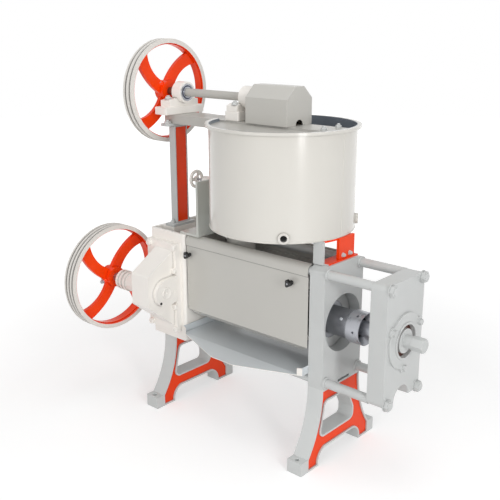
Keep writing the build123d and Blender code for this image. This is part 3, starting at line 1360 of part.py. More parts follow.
# Kettle supports
support_left = frame_right + LEFT_SUPPORT_FROM_FRAME
foot_z = (FRAME_TOP, FRAME_TOP + SUPPORT_FOOT)
with BuildPart() as kettle_left_support:
    block(
        (support_left, support_left + SUPPORT_THICKNESS),
        (-LEFT_SUPPORT_HALF, LEFT_SUPPORT_HALF),
        (FRAME_TOP, LEFT_SUPPORT_TOP),
    )
    block(
        (frame_right - FRAME_THICK_WALL + LEFT_FOOT_INSET, support_left),
        (-LEFT_SUPPORT_HALF, LEFT_SUPPORT_HALF),
        foot_z,
    )
    block(
        (support_left, KETTLE_X),
        (-SADDLE_HALF, SADDLE_HALF),
        (KETTLE_BOTTOM + SADDLE_RISE, KETTLE_BOTTOM + SADDLE_RISE + SADDLE_HEIGHT),
    )
    bar_z((KETTLE_BOTTOM, LEFT_SUPPORT_TOP), KETTLE_R + GAP, KETTLE_X, mode=Mode.SUBTRACT)
    bar_x(
        (support_left, support_left + SUPPORT_THICKNESS),
        VALVE_BODY_R + HOUSING_CLEARANCE,
        0.0,
        VALVE_Z,
        mode=Mode.SUBTRACT,
    )
    block(
        (support_left, support_left + SUPPORT_THICKNESS),
        (-VALVE_BODY_R - HOUSING_CLEARANCE, VALVE_BODY_R + HOUSING_CLEARANCE),
        (VALVE_Z, LEFT_SUPPORT_TOP),
        mode=Mode.SUBTRACT,
    )
save(kettle_left_support, "kettle_left_support")

right_foot_z = (THRUST_PLATE_TOP, THRUST_PLATE_TOP + RIGHT_FOOT)
right_post_x = (plate_left - RIGHT_POST_OVERHANG, plate_left - RIGHT_POST_OVERHANG + RIGHT_POST_WIDTH)
right_web_x = (plate_left + RIGHT_WEB_FROM_PLATE, plate_left + RIGHT_WEB_FROM_PLATE + SUPPORT_THICKNESS)
post_y = (RIGHT_POST_Y - RIGHT_POST_THICKNESS / 2, RIGHT_POST_Y + RIGHT_POST_THICKNESS / 2)
with BuildPart() as kettle_right_support:
    block(
        (plate_left - RIGHT_SHELF_INWARD, right_web_x[1]),
        (post_y[0], RIGHT_WEB_REAR),
        (shelf_z, KETTLE_BOTTOM),
    )
    bar_z((shelf_z, KETTLE_BOTTOM), KETTLE_R, KETTLE_X, mode=Mode.INTERSECT)
    block(right_post_x, post_y, (THRUST_PLATE_TOP, KETTLE_BOTTOM))
    block(right_web_x, (RIGHT_WEB_FRONT, RIGHT_WEB_REAR), (right_foot_z[1], KETTLE_BOTTOM))
    block(
        (plate_left + RIGHT_FOOT_MARGIN, plate_right - RIGHT_FOOT_MARGIN),
        (post_y[1], RIGHT_FOOT_REAR),
        right_foot_z,
    )
save(kettle_right_support, "kettle_right_support")


# Feed chute with the guide of its gate
guide_bottom = KETTLE_BOTTOM - GUIDE_HEIGHT
gate_z = (guide_bottom + GATE_FROM_GUIDE_BOTTOM, guide_bottom + GATE_FROM_GUIDE_BOTTOM + GATE_THICKNESS)
gate_x = (chute_x - GATE_HALF_WIDTH, chute_x + GATE_HALF_WIDTH)
with BuildPart() as feed_chute:
    bar_z((THROAT_TOP, THROAT_TOP + CHUTE_FLANGE_THICKNESS), CHUTE_FLANGE_R, chute_x)
    bar_z((THROAT_TOP, guide_bottom), CHUTE_R, chute_x)
    block(
        (chute_x - GUIDE_HALF_X, chute_x + GUIDE_HALF_X),
        (-GUIDE_HALF_Y, GUIDE_HALF_Y),
        (guide_bottom, KETTLE_BOTTOM),
    )
    bar_z((THROAT_TOP, KETTLE_BOTTOM), CHUTE_BORE_R, chute_x, mode=Mode.SUBTRACT)
    block(
        (gate_x[0] - GAP, gate_x[1] + GAP),
        (GATE_FRONT - GAP, GUIDE_HALF_Y),
        (gate_z[0] - GAP, gate_z[1] + GAP),
        mode=Mode.SUBTRACT,
    )
save(feed_chute, "feed_chute")

with BuildPart() as feed_gate:
    block(gate_x, (GATE_FRONT, GATE_REAR), gate_z)
    handle_x = (chute_x - GATE_HANDLE_WIDTH / 2, chute_x + GATE_HANDLE_WIDTH / 2)
    block(handle_x, (GATE_REAR, GATE_REAR + GATE_HANDLE_LENGTH), gate_z)
    block(
        handle_x,
        (GATE_REAR + GATE_HANDLE_LENGTH - GATE_THICKNESS, GATE_REAR + GATE_HANDLE_LENGTH),
        (gate_z[0] - GATE_HANDLE_RISE, gate_z[1]),
    )
save(feed_gate, "feed_gate")


# Beam over the kettle and the post that carries it
beam_right = KETTLE_X + sqrt((kettle_inner_r - GAP) ** 2 - BEAM_HALF_WIDTH**2)
with BuildPart() as top_beam:
    block((BEAM_LEFT, beam_right), (-BEAM_HALF_WIDTH, BEAM_HALF_WIDTH), (beam_bottom, BEAM_TOP))
    for side in (-1, 1):
        flange_y = (side * BEAM_HALF_WIDTH, side * (BEAM_HALF_WIDTH - BEAM_FLANGE_THICKNESS))
        block((BEAM_LEFT, BEAM_FLANGE_END), (min(flange_y), max(flange_y)), (flange_bottom, beam_bottom))
    block(
        (beam_right - CLEAT_LENGTH, KETTLE_X + KETTLE_R),
        (-BEAM_HALF_WIDTH, BEAM_HALF_WIDTH),
        (beam_bottom - CLEAT_THICKNESS, beam_bottom),
    )
    with BuildSketch(Plane.XY.offset(flange_bottom)) as kettle_side:
        with Locations((KETTLE_X + KETTLE_R, 0)):
            Rectangle(KETTLE_R, 3 * BEAM_HALF_WIDTH)
        with Locations((KETTLE_X, 0)):
            Circle(kettle_inner_r, mode=Mode.SUBTRACT)
    extrude(kettle_side.sketch, amount=BEAM_TOP - flange_bottom, mode=Mode.SUBTRACT)
    bar_z((beam_bottom, BEAM_TOP), TOP_BEARING_R + HOLE_CLEARANCE, KETTLE_X, mode=Mode.SUBTRACT)
save(top_beam, "top_beam")

post_x = (POST_LEFT, POST_LEFT + POST_DEPTH)
post_half = (POST_Y - POST_HALF_WIDTH, POST_Y + POST_HALF_WIDTH)
post_z = (FRAME_TOP + POST_PLATE, flange_bottom - POST_TOP_PLATE)
with BuildPart() as beam_post:
    block(post_plate_x, post_plate_y, (FRAME_TOP, FRAME_TOP + POST_PLATE))
    block(post_x, post_half, post_z)
    block(
        (post_x[1] - POST_RECESS, post_x[1]),
        (post_half[0] + POST_RIM, post_half[1] - POST_RIM),
        (post_z[0] + POST_RIM, post_z[1] - POST_RIM),
        mode=Mode.SUBTRACT,
    )
    with BuildSketch(Plane.XY.offset(post_z[1])) as top_plate:
        with Locations((middle(post_plate_x), (POST_TOP_FRONT + POST_TOP_REAR) / 2)):
            Rectangle(length(post_plate_x), POST_TOP_REAR - POST_TOP_FRONT)
        fillet(top_plate.vertices().group_by(Axis.Y)[0], POST_TOP_CORNER_R)
    extrude(top_plate.sketch, amount=POST_TOP_PLATE)
save(beam_post, "beam_post")


# Bearing blocks, pillow blocks and the upper shaft
guard_left = KETTLE_X - GUARD_LEFT_FROM_KETTLE
left_housing_left = LEFT_BLOCK_LEFT + LEFT_HOUSING_FROM_BLOCK
left_housing_x = (left_housing_left, left_housing_left + LEFT_HOUSING_LENGTH)
right_housing_x = (RIGHT_BLOCK_LEFT + RIGHT_HOUSING_FROM_BLOCK, guard_left - GAP)
block_sizes = (
    (LEFT_BLOCK_LEFT, LEFT_BLOCK_HALF, LEFT_BLOCK_HEIGHT, PILLOW_HALF, left_housing_x),
    (RIGHT_BLOCK_LEFT, RIGHT_BLOCK_HALF, RIGHT_BLOCK_HEIGHT, RIGHT_PILLOW_HALF, right_housing_x),
)
with BuildPart() as bearing_blocks:
    for left, half, height, _, _ in block_sizes:
        block((left, left + BLOCK_LENGTH), (-half, half), (BEAM_TOP, BEAM_TOP + height))
save(bearing_blocks, "bearing_blocks")

with BuildPart() as pillow_blocks:
    for left, _, height, pillow_half, housing_x in block_sizes:
        base_z = BEAM_TOP + height
        pillow_outline = [
            (-pillow_half, base_z),
            (pillow_half, base_z),
            (pillow_half, PILLOW_FOOT_TOP - PILLOW_FOOT_SLOPE),
            (PILLOW_R, PILLOW_FOOT_TOP),
            (-PILLOW_R, PILLOW_FOOT_TOP),
            (-pillow_half, PILLOW_FOOT_TOP - PILLOW_FOOT_SLOPE),
        ]
        plate_x((left + PILLOW_FOOT_MARGIN, left + BLOCK_LENGTH - PILLOW_FOOT_MARGIN), pillow_outline)
        bar_x(housing_x, PILLOW_R, 0.0, UPPER_AXIS_Z)
        bar_x((left, housing_x[1]), UPPER_SHAFT_R + FIT, 0.0, UPPER_AXIS_Z, mode=Mode.SUBTRACT)
save(pillow_blocks, "pillow_blocks")

pinion_plane_x = KETTLE_X - bevel_reach
bevel_cone = sqrt(bevel_reach**2 + bevel_drop**2)
small_end = (bevel_cone - BEVEL_FACE) / bevel_cone
upper_shaft_end = KETTLE_X - bevel_reach * small_end + SHAFT_PAST_PINION
with BuildPart() as upper_shaft:
    bar_x((UPPER_PULLEY_LEFT - PULLEY_SHAFT_MARGIN, upper_shaft_end), UPPER_SHAFT_R, 0.0, UPPER_AXIS_Z)
save(upper_shaft, "upper_shaft")


# Bevel gears, with teeth that taper towards the point where the two axes meet
def bevel_outline(teeth, plane_distance, pitch, scale, first_angle):
    """Points of a bevel gear's section across its own axis, scaled towards the apex."""
    pitch_angle = atan(pitch / plane_distance)
    half = pi * BEVEL_MODULE / 4 - BEVEL_BACKLASH / 2
    slope = tan(radians(PRESSURE_ANGLE))
    points = []
    for tooth in range(teeth):
        angle = first_angle + 360 * tooth / teeth
        for level, side in ((-GEAR_DEDENDUM, -1), (1, -1), (1, 1), (-GEAR_DEDENDUM, 1)):
            cone_angle = pitch_angle + atan(level * BEVEL_MODULE / bevel_cone)
            radius = plane_distance * tan(cone_angle)
            half_width = half - level * BEVEL_MODULE * slope
            turn = side * degrees(half_width / (bevel_cone * sin(cone_angle)))
            points.append(polar(radius * scale, angle + turn))
    return points


with BuildPart() as bevel_pinion:
    for distance, scale in ((bevel_reach, 1.0), (bevel_reach * small_end, small_end)):
        with BuildSketch(Plane.YZ.offset(KETTLE_X - distance)):
            with Locations((0, UPPER_AXIS_Z)):
                with BuildLine():
                    outline_points = bevel_outline(BEVEL_PINION_TEETH, bevel_reach, bevel_drop, scale, 0)
                    Polyline(*[(y, z + UPPER_AXIS_Z) for y, z in outline_points], close=True)
                make_face()
    loft(ruled=True)
    pinion_back_x = pinion_plane_x - BEVEL_BACK
    bar_x((pinion_back_x, pinion_plane_x), bevel_drop - PINION_BACK_STEP, 0.0, UPPER_AXIS_Z)
    bar_x((pinion_back_x, upper_shaft_end), UPPER_SHAFT_R + FIT, 0.0, UPPER_AXIS_Z, mode=Mode.SUBTRACT)
save(bevel_pinion, "bevel_pinion")

with BuildPart() as crown_gear:
    for drop, scale in ((bevel_drop, 1.0), (bevel_drop * small_end, small_end)):
        with BuildSketch(Plane.XY.offset(UPPER_AXIS_Z - drop)):
            with BuildLine():
                outline_points = bevel_outline(CROWN_TEETH, bevel_drop, bevel_reach, scale, 180 / CROWN_TEETH)
                Polyline(*[(x + KETTLE_X, y) for x, y in outline_points], close=True)
            make_face()
    loft(ruled=True)
    bar_z((crown_z - BEVEL_BACK, crown_z), bevel_reach - CROWN_BACK_STEP, KETTLE_X)
    bar_z((crown_z - BEVEL_BACK, UPPER_AXIS_Z), STIRRER_R + FIT, KETTLE_X, mode=Mode.SUBTRACT)
save(crown_gear, "crown_gear")


# Guard over the bevel gears
guard_x = (guard_left, KETTLE_X + GUARD_RIGHT_FROM_KETTLE)


def guard_outline(inset):
    """Section of the guard, or of its inside."""
    return [
        (-GUARD_HALF_WIDTH + inset, BEAM_TOP + inset),
        (-GUARD_HALF_WIDTH + inset, GUARD_SIDE_TOP - inset / 2),
        (-GUARD_TOP_HALF + inset / 2, GUARD_TOP - inset),
        (GUARD_TOP_HALF - inset / 2, GUARD_TOP - inset),
        (GUARD_HALF_WIDTH - inset, GUARD_SIDE_TOP - inset / 2),
        (GUARD_HALF_WIDTH - inset, BEAM_TOP + inset),
    ]


with BuildPart() as bevel_guard:
    plate_x(guard_x, guard_outline(0))
    guard_inner_x = (guard_x[0] + GUARD_SHEET, guard_x[1] - GUARD_SHEET)
    plate_x(guard_inner_x, guard_outline(GUARD_SHEET), mode=Mode.SUBTRACT)
    block(
        (guard_x[0] + GUARD_SHEET, guard_x[1] - GUARD_SHEET),
        (-GUARD_HALF_WIDTH + GUARD_LIP, GUARD_HALF_WIDTH - GUARD_LIP),
        (BEAM_TOP, BEAM_TOP + GUARD_SHEET),
        mode=Mode.SUBTRACT,
    )
    slot_half = UPPER_SHAFT_R + GUARD_SLOT_CLEARANCE
    bar_x((guard_x[0], guard_x[0] + GUARD_SHEET), slot_half, 0.0, UPPER_AXIS_Z, mode=Mode.SUBTRACT)
    block(
        (guard_x[0], guard_x[0] + GUARD_SHEET),
        (-slot_half, slot_half),
        (BEAM_TOP, UPPER_AXIS_Z),
        mode=Mode.SUBTRACT,
    )
    bar_x((guard_x[1] - GUARD_SHEET, guard_x[1]), GUARD_NOTCH_R, 0.0, BEAM_TOP, mode=Mode.SUBTRACT)
save(bevel_guard, "bevel_guard")


# Stirrer and its two bearings
stirrer_top = UPPER_AXIS_Z - UPPER_SHAFT_R - STIRRER_UNDER_SHAFT
hub_bottom = kettle_floor + FOOT_BEARING_HEIGHT + GAP
hub_z = (hub_bottom, hub_bottom + STIRRER_HUB_HEIGHT)
arm_z = (hub_z[0], hub_z[0] + STIRRER_ARM_HEIGHT)
with BuildPart() as stirrer:
    bar_z((kettle_floor + GAP, stirrer_top), STIRRER_R, KETTLE_X)
    bar_z(hub_z, STIRRER_HUB_R, KETTLE_X)
    for side in (-1, 1):
        with BuildSketch(Plane.XY.offset(arm_z[0])) as arm:
            with BuildLine() as sweep_line:
                ThreePointArc(
                    (KETTLE_X, side * STIRRER_R),
                    (KETTLE_X + side * STIRRER_ARM_BEND / 2, side * STIRRER_REACH / 2),
                    (KETTLE_X - side * STIRRER_ARM_BEND / 4, side * (STIRRER_REACH - STIRRER_ARM_BEND / 4)),
                )
            trace(sweep_line.line, STIRRER_ARM_THICKNESS)
        extrude(arm.sketch, amount=STIRRER_ARM_HEIGHT)
save(stirrer, "stirrer")

with BuildPart() as stirrer_bearings:
    bar_z((kettle_floor, kettle_floor + FOOT_BEARING_HEIGHT), FOOT_BEARING_R, KETTLE_X)
    bar_z((BEAM_TOP, BEAM_TOP + TOP_BEARING_FLANGE), TOP_BEARING_FLANGE_R, KETTLE_X)
    bar_z((beam_bottom, BEAM_TOP + TOP_BEARING_HEIGHT), TOP_BEARING_R, KETTLE_X)
    bar_z((kettle_floor, BEAM_TOP + TOP_BEARING_HEIGHT), STIRRER_R + FIT, KETTLE_X, mode=Mode.SUBTRACT)
save(stirrer_bearings, "stirrer_bearings")


# Steam valve and its handwheel
valve_x = (VALVE_BODY_X - VALVE_BODY_LENGTH / 2, VALVE_BODY_X + VALVE_BODY_LENGTH / 2)
port_y = (0.0, VALVE_PORT_REACH)
pipe_end = KETTLE_X - kettle_inner_r + VALVE_PIPE_INSIDE
port_thread_y = (VALVE_PORT_REACH - VALVE_THREAD_LENGTH, VALVE_PORT_REACH)
with BuildPart() as steam_valve:
    bar_x((valve_x[1], pipe_end), VALVE_PIPE_R, 0.0, VALVE_Z)
    bar_x(valve_x, VALVE_BODY_R, 0.0, VALVE_Z)
    bar_y(port_y, VALVE_PORT_R, VALVE_BODY_X, VALVE_Z)
    bar_y(port_y, VALVE_PIPE_BORE_R, VALVE_BODY_X, VALVE_Z, mode=Mode.SUBTRACT)
    bar_y(port_thread_y, VALVE_THREAD_R, VALVE_BODY_X, VALVE_Z, mode=Mode.SUBTRACT)
    bar_x((VALVE_BODY_X, pipe_end), VALVE_PIPE_BORE_R, 0.0, VALVE_Z, mode=Mode.SUBTRACT)
    bar_x((valve_x[0], VALVE_BODY_X), STEM_ROD_R + FIT, 0.0, VALVE_Z, mode=Mode.SUBTRACT)
save(steam_valve, "steam_valve")

wheel_span = (HANDWHEEL_X - HANDWHEEL_THICKNESS / 2, HANDWHEEL_X + HANDWHEEL_THICKNESS / 2)
with BuildPart() as valve_handwheel:
    bar_x(wheel_span, HANDWHEEL_R, 0.0, VALVE_Z)
    bar_x(wheel_span, HANDWHEEL_R - HANDWHEEL_RIM, 0.0, VALVE_Z, mode=Mode.SUBTRACT)
    bar_x(wheel_span, HANDWHEEL_HUB_R, 0.0, VALVE_Z)
    for spoke in range(HANDWHEEL_SPOKES):
        angle = 360 * spoke / HANDWHEEL_SPOKES + HANDWHEEL_FIRST_SPOKE
        with BuildSketch(Plane.YZ.offset(wheel_span[0] + HANDWHEEL_SPOKE_INSET)) as wheel_arm:
            with Locations((0, VALVE_Z)):
                with Locations(Rotation(0, 0, angle)):
                    Rectangle(
                        HANDWHEEL_R - HANDWHEEL_SPOKE_INSET,
                        HANDWHEEL_SPOKE_WIDTH,
                        align=(Align.MIN, Align.CENTER),
                    )
        extrude(wheel_arm.sketch, amount=HANDWHEEL_THICKNESS - 2 * HANDWHEEL_SPOKE_INSET)
    bar_x((wheel_span[0], VALVE_BODY_X - VALVE_THREAD_R - VALVE_SEAT), STEM_ROD_R, 0.0, VALVE_Z)
save(valve_handwheel, "valve_handwheel")
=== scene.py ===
import math

import bmesh
import bpy
from bpy.props import FloatProperty, FloatVectorProperty, IntProperty, PointerProperty
from mathutils import Matrix, Vector


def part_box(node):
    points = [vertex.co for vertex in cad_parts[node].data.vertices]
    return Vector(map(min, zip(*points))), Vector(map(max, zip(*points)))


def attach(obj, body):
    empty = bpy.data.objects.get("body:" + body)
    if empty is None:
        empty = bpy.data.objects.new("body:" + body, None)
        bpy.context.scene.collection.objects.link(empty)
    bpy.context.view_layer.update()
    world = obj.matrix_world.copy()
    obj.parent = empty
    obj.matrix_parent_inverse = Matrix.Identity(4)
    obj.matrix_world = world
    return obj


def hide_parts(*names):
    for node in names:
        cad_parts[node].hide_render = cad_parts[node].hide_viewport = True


bl_info = {
    "name": "Screw Oil Press",
    "version": (1, 0, 0),
    "blender": (4, 5, 0),
    "location": "3D View > Sidebar > Oil Press",
    "description": "Paints and fits out the screw oil press, and sets up a plain studio round it",
    "category": "Object",
}

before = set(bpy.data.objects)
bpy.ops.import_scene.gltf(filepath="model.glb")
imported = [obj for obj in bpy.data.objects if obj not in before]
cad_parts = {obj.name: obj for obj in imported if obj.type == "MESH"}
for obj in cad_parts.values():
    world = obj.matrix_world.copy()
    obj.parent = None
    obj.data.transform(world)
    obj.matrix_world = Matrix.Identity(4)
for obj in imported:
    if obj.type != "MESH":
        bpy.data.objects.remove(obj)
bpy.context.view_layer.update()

FULL_TURN = 2 * math.pi
X_AXIS = Vector((1, 0, 0))
Y_AXIS = Vector((0, 1, 0))
Z_AXIS = Vector((0, 0, 1))


def srgb(red, green, blue):
    """A colour given in 0 to 255 steps, as the linear values that Blender works in."""
    linear = []
    for step in (red, green, blue):
        share = step / 255
        linear.append(share / 12.92 if share <= 0.04045 else ((share + 0.055) / 1.055) ** 2.4)
    return tuple(linear)


def paint_colour(name, description, default):
    return FloatVectorProperty(
        name=name, description=description, subtype="COLOR", size=3, min=0.0, max=1.0, default=default
    )


def size_of(name, description, default):
    return FloatProperty(name=name, description=description, unit="LENGTH", min=0.0, default=default)


# Settings that a user would change
class PressPaint(bpy.types.PropertyGroup):
    casting: paint_colour("Castings", "Grey enamel of the stands, plates and blocks", srgb(199, 201, 200))
    gear_case: paint_colour("Gear case", "Paler enamel of the gear frame and its nose", srgb(246, 242, 236))
    bracket: paint_colour("Bracket", "Grey-green enamel of the left kettle support", srgb(196, 198, 192))
    # Blue-grey of the kettle's inside, darkened as painted shade
    shaded_kettle_inside: paint_colour("Kettle inside", "Blue-grey inside the kettle, darkened as painted shade", srgb(122, 130, 140))
    kettle: paint_colour("Kettle", "Off-white enamel of the kettle", srgb(212, 209, 202))
    cover: paint_colour("Cover", "Warm grey enamel of the front cover and the guard", srgb(196, 194, 188))
    tray: paint_colour("Tray", "Cool grey of the oil tray", srgb(208, 213, 216))
    red: paint_colour("Red", "Orange-red of the panels, spokes and supports", srgb(255, 68, 8))
    plastic: paint_colour("Plastic", "Black plastic of the cover knobs", srgb(11, 11, 12))
    steel: paint_colour("Steel", "Bare turned steel", srgb(186, 188, 194))
    dark_steel: paint_colour("Dark steel", "Oiled steel inside the press", srgb(92, 90, 88))
    # Brown of old grease, darkened further as painted shade inside the end cap
    grease_and_shade: paint_colour("Grease", "Old grease in the end bearing", srgb(96, 58, 50))
    rust: paint_colour("Rust", "Rust on the bare end of the upper shaft", srgb(132, 92, 78))
    bronze: paint_colour("Bronze", "Bronze of the stirrer's bushes", srgb(186, 142, 84))


class PressFittings(bpy.types.PropertyGroup):
    cast_edge: size_of("Cast edge", "Radius of the edges of castings", 0.0035)
    machined_edge: size_of("Machined edge", "Chamfer of machined edges", 0.0012)
    bolt_head: size_of("Bolt head", "Height of the heads of the frame bolts", 0.008)
    weld: size_of("Weld", "Radius of the weld beads", 0.003)
    cap_screw: size_of("Cap screw", "Radius of the round screw heads on the gear case", 0.0135)
    knob: size_of("Knob", "Reach of the lobes of the cover knobs", 0.0165)
    wheel_rim: size_of("Handwheel rim", "Radius of the round rim of the handwheel", 0.0072)
    round_steps: IntProperty(name="Round steps", description="Sides of a round fitting", min=12, default=40)


class PressStudio(bpy.types.PropertyGroup):
    camera_place: FloatVectorProperty(
        name="Camera place", description="Where the camera stands", subtype="XYZ", unit="LENGTH",
        default=(2.0245, -2.314, 1.680),
    )
    camera_tilt: FloatProperty(
        name="Camera tilt", description="How far the camera looks down", unit="ROTATION",
        default=math.radians(15.85),
    )
    camera_turn: FloatProperty(
        name="Camera turn", description="How far the camera turns from +Y towards -X", unit="ROTATION",
        default=math.radians(41.39),
    )
    lens: FloatProperty(name="Lens", description="Focal length in millimetres", default=55.224)
    shift_x: FloatProperty(name="Shift across", description="Lens shift across the frame", default=-0.008)
    shift_y: FloatProperty(name="Shift up", description="Lens shift up the frame", default=-0.0168)
    sky: FloatProperty(name="Sky", description="Level of the even light all round", default=0.5)
    key: FloatProperty(name="Key light", description="Watts of the light on the outlet side", default=74.0)
    fill: FloatProperty(name="Fill light", description="Watts of the light on the cover side", default=44.0)
    top: FloatProperty(name="Top light", description="Watts of the light above", default=30.0)
    floor: size_of("Floor", "Radius of the floor", 12.0)


# Sizes and places are in metres, where nothing else is said
# Reach of the ambient occlusion that paints shade into inner corners
CREVICE_SHADE_REACH = 0.014
DUST = srgb(178, 172, 162)
SEAL_RUBBER = srgb(58, 66, 92)
GROOVE_PITCH = 0.0034
FINE_RINGS = 900
BARE_METAL = 0.85


# Shader maths
class Level:
    """A number that comes from a socket. Plain Python maths on it adds the Math nodes."""

    def __init__(self, finish, socket):
        self.finish = finish
        self.socket = socket

    def __add__(self, other):
        return self.finish.maths("ADD", self, other)

    def __radd__(self, other):
        return self.finish.maths("ADD", other, self)

    def __sub__(self, other):
        return self.finish.maths("SUBTRACT", self, other)

    def __rsub__(self, other):
        return self.finish.maths("SUBTRACT", other, self)

    def __mul__(self, other):
        return self.finish.maths("MULTIPLY", self, other)

    def __rmul__(self, other):
        return self.finish.maths("MULTIPLY", other, self)

    def __pow__(self, other):
        return self.finish.maths("POWER", self, other)

    def __abs__(self):
        return self.finish.maths("ABSOLUTE", self)

    def __gt__(self, other):
        return self.finish.maths("GREATER_THAN", self, other)

    def __lt__(self, other):
        return self.finish.maths("LESS_THAN", self, other)


def add_node(tree, kind, settings=(), inputs=()):
    """Adds a node: its settings come first, then the values or links of its sockets."""
    made = tree.nodes.new(kind)
    for name, value in dict(settings).items():
        setattr(made, name, value)
    for key, value in dict(inputs).items():
        if isinstance(value, Level):
            value = value.socket
        if isinstance(value, bpy.types.NodeSocket):
            tree.links.new(value, made.inputs[key])
        else:
            made.inputs[key].default_value = value
    return made


class Finish:
    """One material, made node by node, that reads the piece's own coordinates."""

    def __init__(self, name):
        self.material = bpy.data.materials.new(name)
        self.material.use_nodes = True
        self.tree = self.material.node_tree
        self.tree.nodes.clear()
        source = self.node("ShaderNodeTexCoord")
        self.place = source.outputs["Object"]
        self.facing = source.outputs["Normal"]

    def node(self, kind, settings=(), inputs=()):
        return add_node(self.tree, kind, settings, inputs)

    def maths(self, operation, *terms):
        made = self.node("ShaderNodeMath", {"operation": operation}, dict(enumerate(terms)))
        return Level(self, made.outputs[0])

    def axes(self, source=None):
        """The three numbers of a vector."""
        parts = self.node("ShaderNodeSeparateXYZ", (), {"Vector": source or self.place})
        return tuple(Level(self, output) for output in parts.outputs)

    def vector(self, x, y, z):
        return self.node("ShaderNodeCombineXYZ", (), {"X": x, "Y": y, "Z": z}).outputs[0]

    def noise(self, scale, detail=2.0, at=None):
        made = self.node(
            "ShaderNodeTexNoise", (), {"Vector": at or self.place, "Scale": scale, "Detail": detail}
        )
        return Level(self, made.outputs["Fac"])

    def step(self, level, low, high):
        """0 below low, 1 above high and even between them, either way round."""
        made = self.node("ShaderNodeMapRange", (), {"Value": level, "From Min": low, "From Max": high})
        return Level(self, made.outputs["Result"])

    def mix(self, share, first, second):
        """A colour between two others."""
        ends = [tuple(end) + (1.0,) if len_is_three(end) else end for end in (first, second)]
        made = self.node("ShaderNodeMix", {"data_type": "RGBA"}, {0: share, 6: ends[0], 7: ends[1]})
        return made.outputs[2]

    def crevice_shade(self, reach):
        """1 deep in an inner corner of the piece and 0 on open faces, from ambient occlusion: the mask of
        painted shade there, which also stands for dirt settled in those corners.
        """
        shade = self.node(
            "ShaderNodeAmbientOcclusion", {"samples": 8, "only_local": True}, {"Distance": reach}
        )
        return self.step(Level(self, shade.outputs["AO"]), 0.8, 0.35)

    def bump(self, height, depth, strength=1.0):
        made = self.node(
            "ShaderNodeBump", (), {"Height": height, "Distance": depth, "Strength": strength}
        )
        return made.outputs["Normal"]

    def surface(self, **values):
        """Ends the material in a Principled shader whose sockets take these values."""
        sockets = {}
        for name, value in values.items():
            sockets[name.replace("_", " ").title().replace("Ior", "IOR")] = value
        shader = self.node("ShaderNodeBsdfPrincipled", (), sockets)
        self.node("ShaderNodeOutputMaterial", (), {"Surface": shader.outputs[0]})
        return self.material


def len_is_three(value):
    """True for a plain colour, and false for a socket."""
    return not isinstance(value, bpy.types.NodeSocket) and len(value) == 3


def toned(colour, share):
    """A colour made darker or paler by a share."""
    return tuple(min(1.0, part * share) for part in colour)


def give(material, *nodes):
    """Puts a material on whole CAD nodes."""
    for name in nodes:
        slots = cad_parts[name].data.materials
        slots.clear()
        slots.append(material)


def radius_about(finish, centre):
    """Distance from an axis along X through a (y, z) point."""
    _, y, z = finish.axes()
    return ((y - centre[0]) ** 2 + (z - centre[1]) ** 2) ** 0.5


# Finishes
def enamel_coat(finish, colour, grain):
    """Colour and height of brushed enamel, with painted shade in inner corners. The grain is 0 on smooth
    sheet and 1 on a casting.
    """
    broad = finish.noise(2.2, 1)
    cloudy = finish.noise(11.0, 3)
    sand = finish.noise(210.0, 3)
    skin = finish.noise(46.0, 2)
    tone = finish.step(broad * 0.7 + cloudy * 0.3, 0.35, 0.65)
    spread = 0.012 + 0.028 * grain
    coat = finish.mix(tone, toned(colour, 1 - spread), toned(colour, 1 + spread))
    # Painted shade: darker where ambient occlusion finds an inner corner
    coat = finish.mix(finish.crevice_shade(CREVICE_SHADE_REACH) * (0.45 + 0.25 * grain), coat, toned(colour, 0.3))
    height = skin * 0.8 + sand * (0.05 + 0.5 * grain)
    return coat, height, cloudy


def enamel(name, colour, grain=1.0, gloss=0.42):
    """Enamel paint in one colour with painted shade in inner corners, a little dusty on top faces."""
    finish = Finish(name)
    coat, height, cloudy = enamel_coat(finish, colour, grain)
    up = finish.axes(finish.facing)[2]
    dust = finish.step(up, 0.6, 0.95) * finish.step(cloudy, 0.35, 0.75) * 0.12
    coat = finish.mix(dust, coat, DUST)
    return finish.surface(
        base_color=coat,
        roughness=cloudy * 0.1 + (gloss - 0.05) + dust,
        coat_weight=0.3,
        coat_roughness=0.14,
        normal=finish.bump(height, 0.0002 + 0.0007 * grain, 0.3),
    )


def masked_enamel(name, colour, masked_colour, where):
    """Glossy enamel on a sheet wall, in a second colour where the function's mask is 1: painted shade inside
    the kettle, a painted shadow line under the cover's hem, and pale paint on the front faces of the tray.
    """
    finish = Finish(name)
    coat, height, cloudy = enamel_coat(finish, colour, 0.08)
    mask = where(finish)
    return finish.surface(
        base_color=finish.mix(mask, coat, masked_colour),
        roughness=cloudy * 0.08 + mask * 0.2 + 0.17,
        coat_weight=0.3,
        coat_roughness=0.12,
        normal=finish.bump(height, 0.0002, 0.25),
    )


def two_tone(name, colour, red, where, grain=1.0, shade_mask=None):
    """Enamel with glossy red where the function's mask is 1, with painted shade in inner corners, and with
    painted shade where the shade mask is 1.
    """
    finish = Finish(name)
    coat, height, cloudy = enamel_coat(finish, colour, grain)
    depth = finish.noise(7.0, 2)
    panel = finish.mix(finish.step(depth, 0.35, 0.7), toned(red, 0.9), toned(red, 1.05))
    mask = where(finish)
    if shade_mask:
        # Painted shade where the shade mask is 1, such as deep in belt grooves
        coat = finish.mix(shade_mask(finish), coat, toned(colour, 0.3))
    # Painted shade in the inner corners of the red panels
    panel = finish.mix(finish.crevice_shade(CREVICE_SHADE_REACH) * 0.6, panel, toned(red, 0.35))
    return finish.surface(
        base_color=finish.mix(mask, coat, panel),
        roughness=cloudy * 0.12 + 0.34 - mask * 0.1,
        specular_ior_level=0.2,
        coat_weight=0.04,
        coat_roughness=0.1,
        normal=finish.bump(height, 0.0002 + 0.0007 * grain, 0.3),
    )


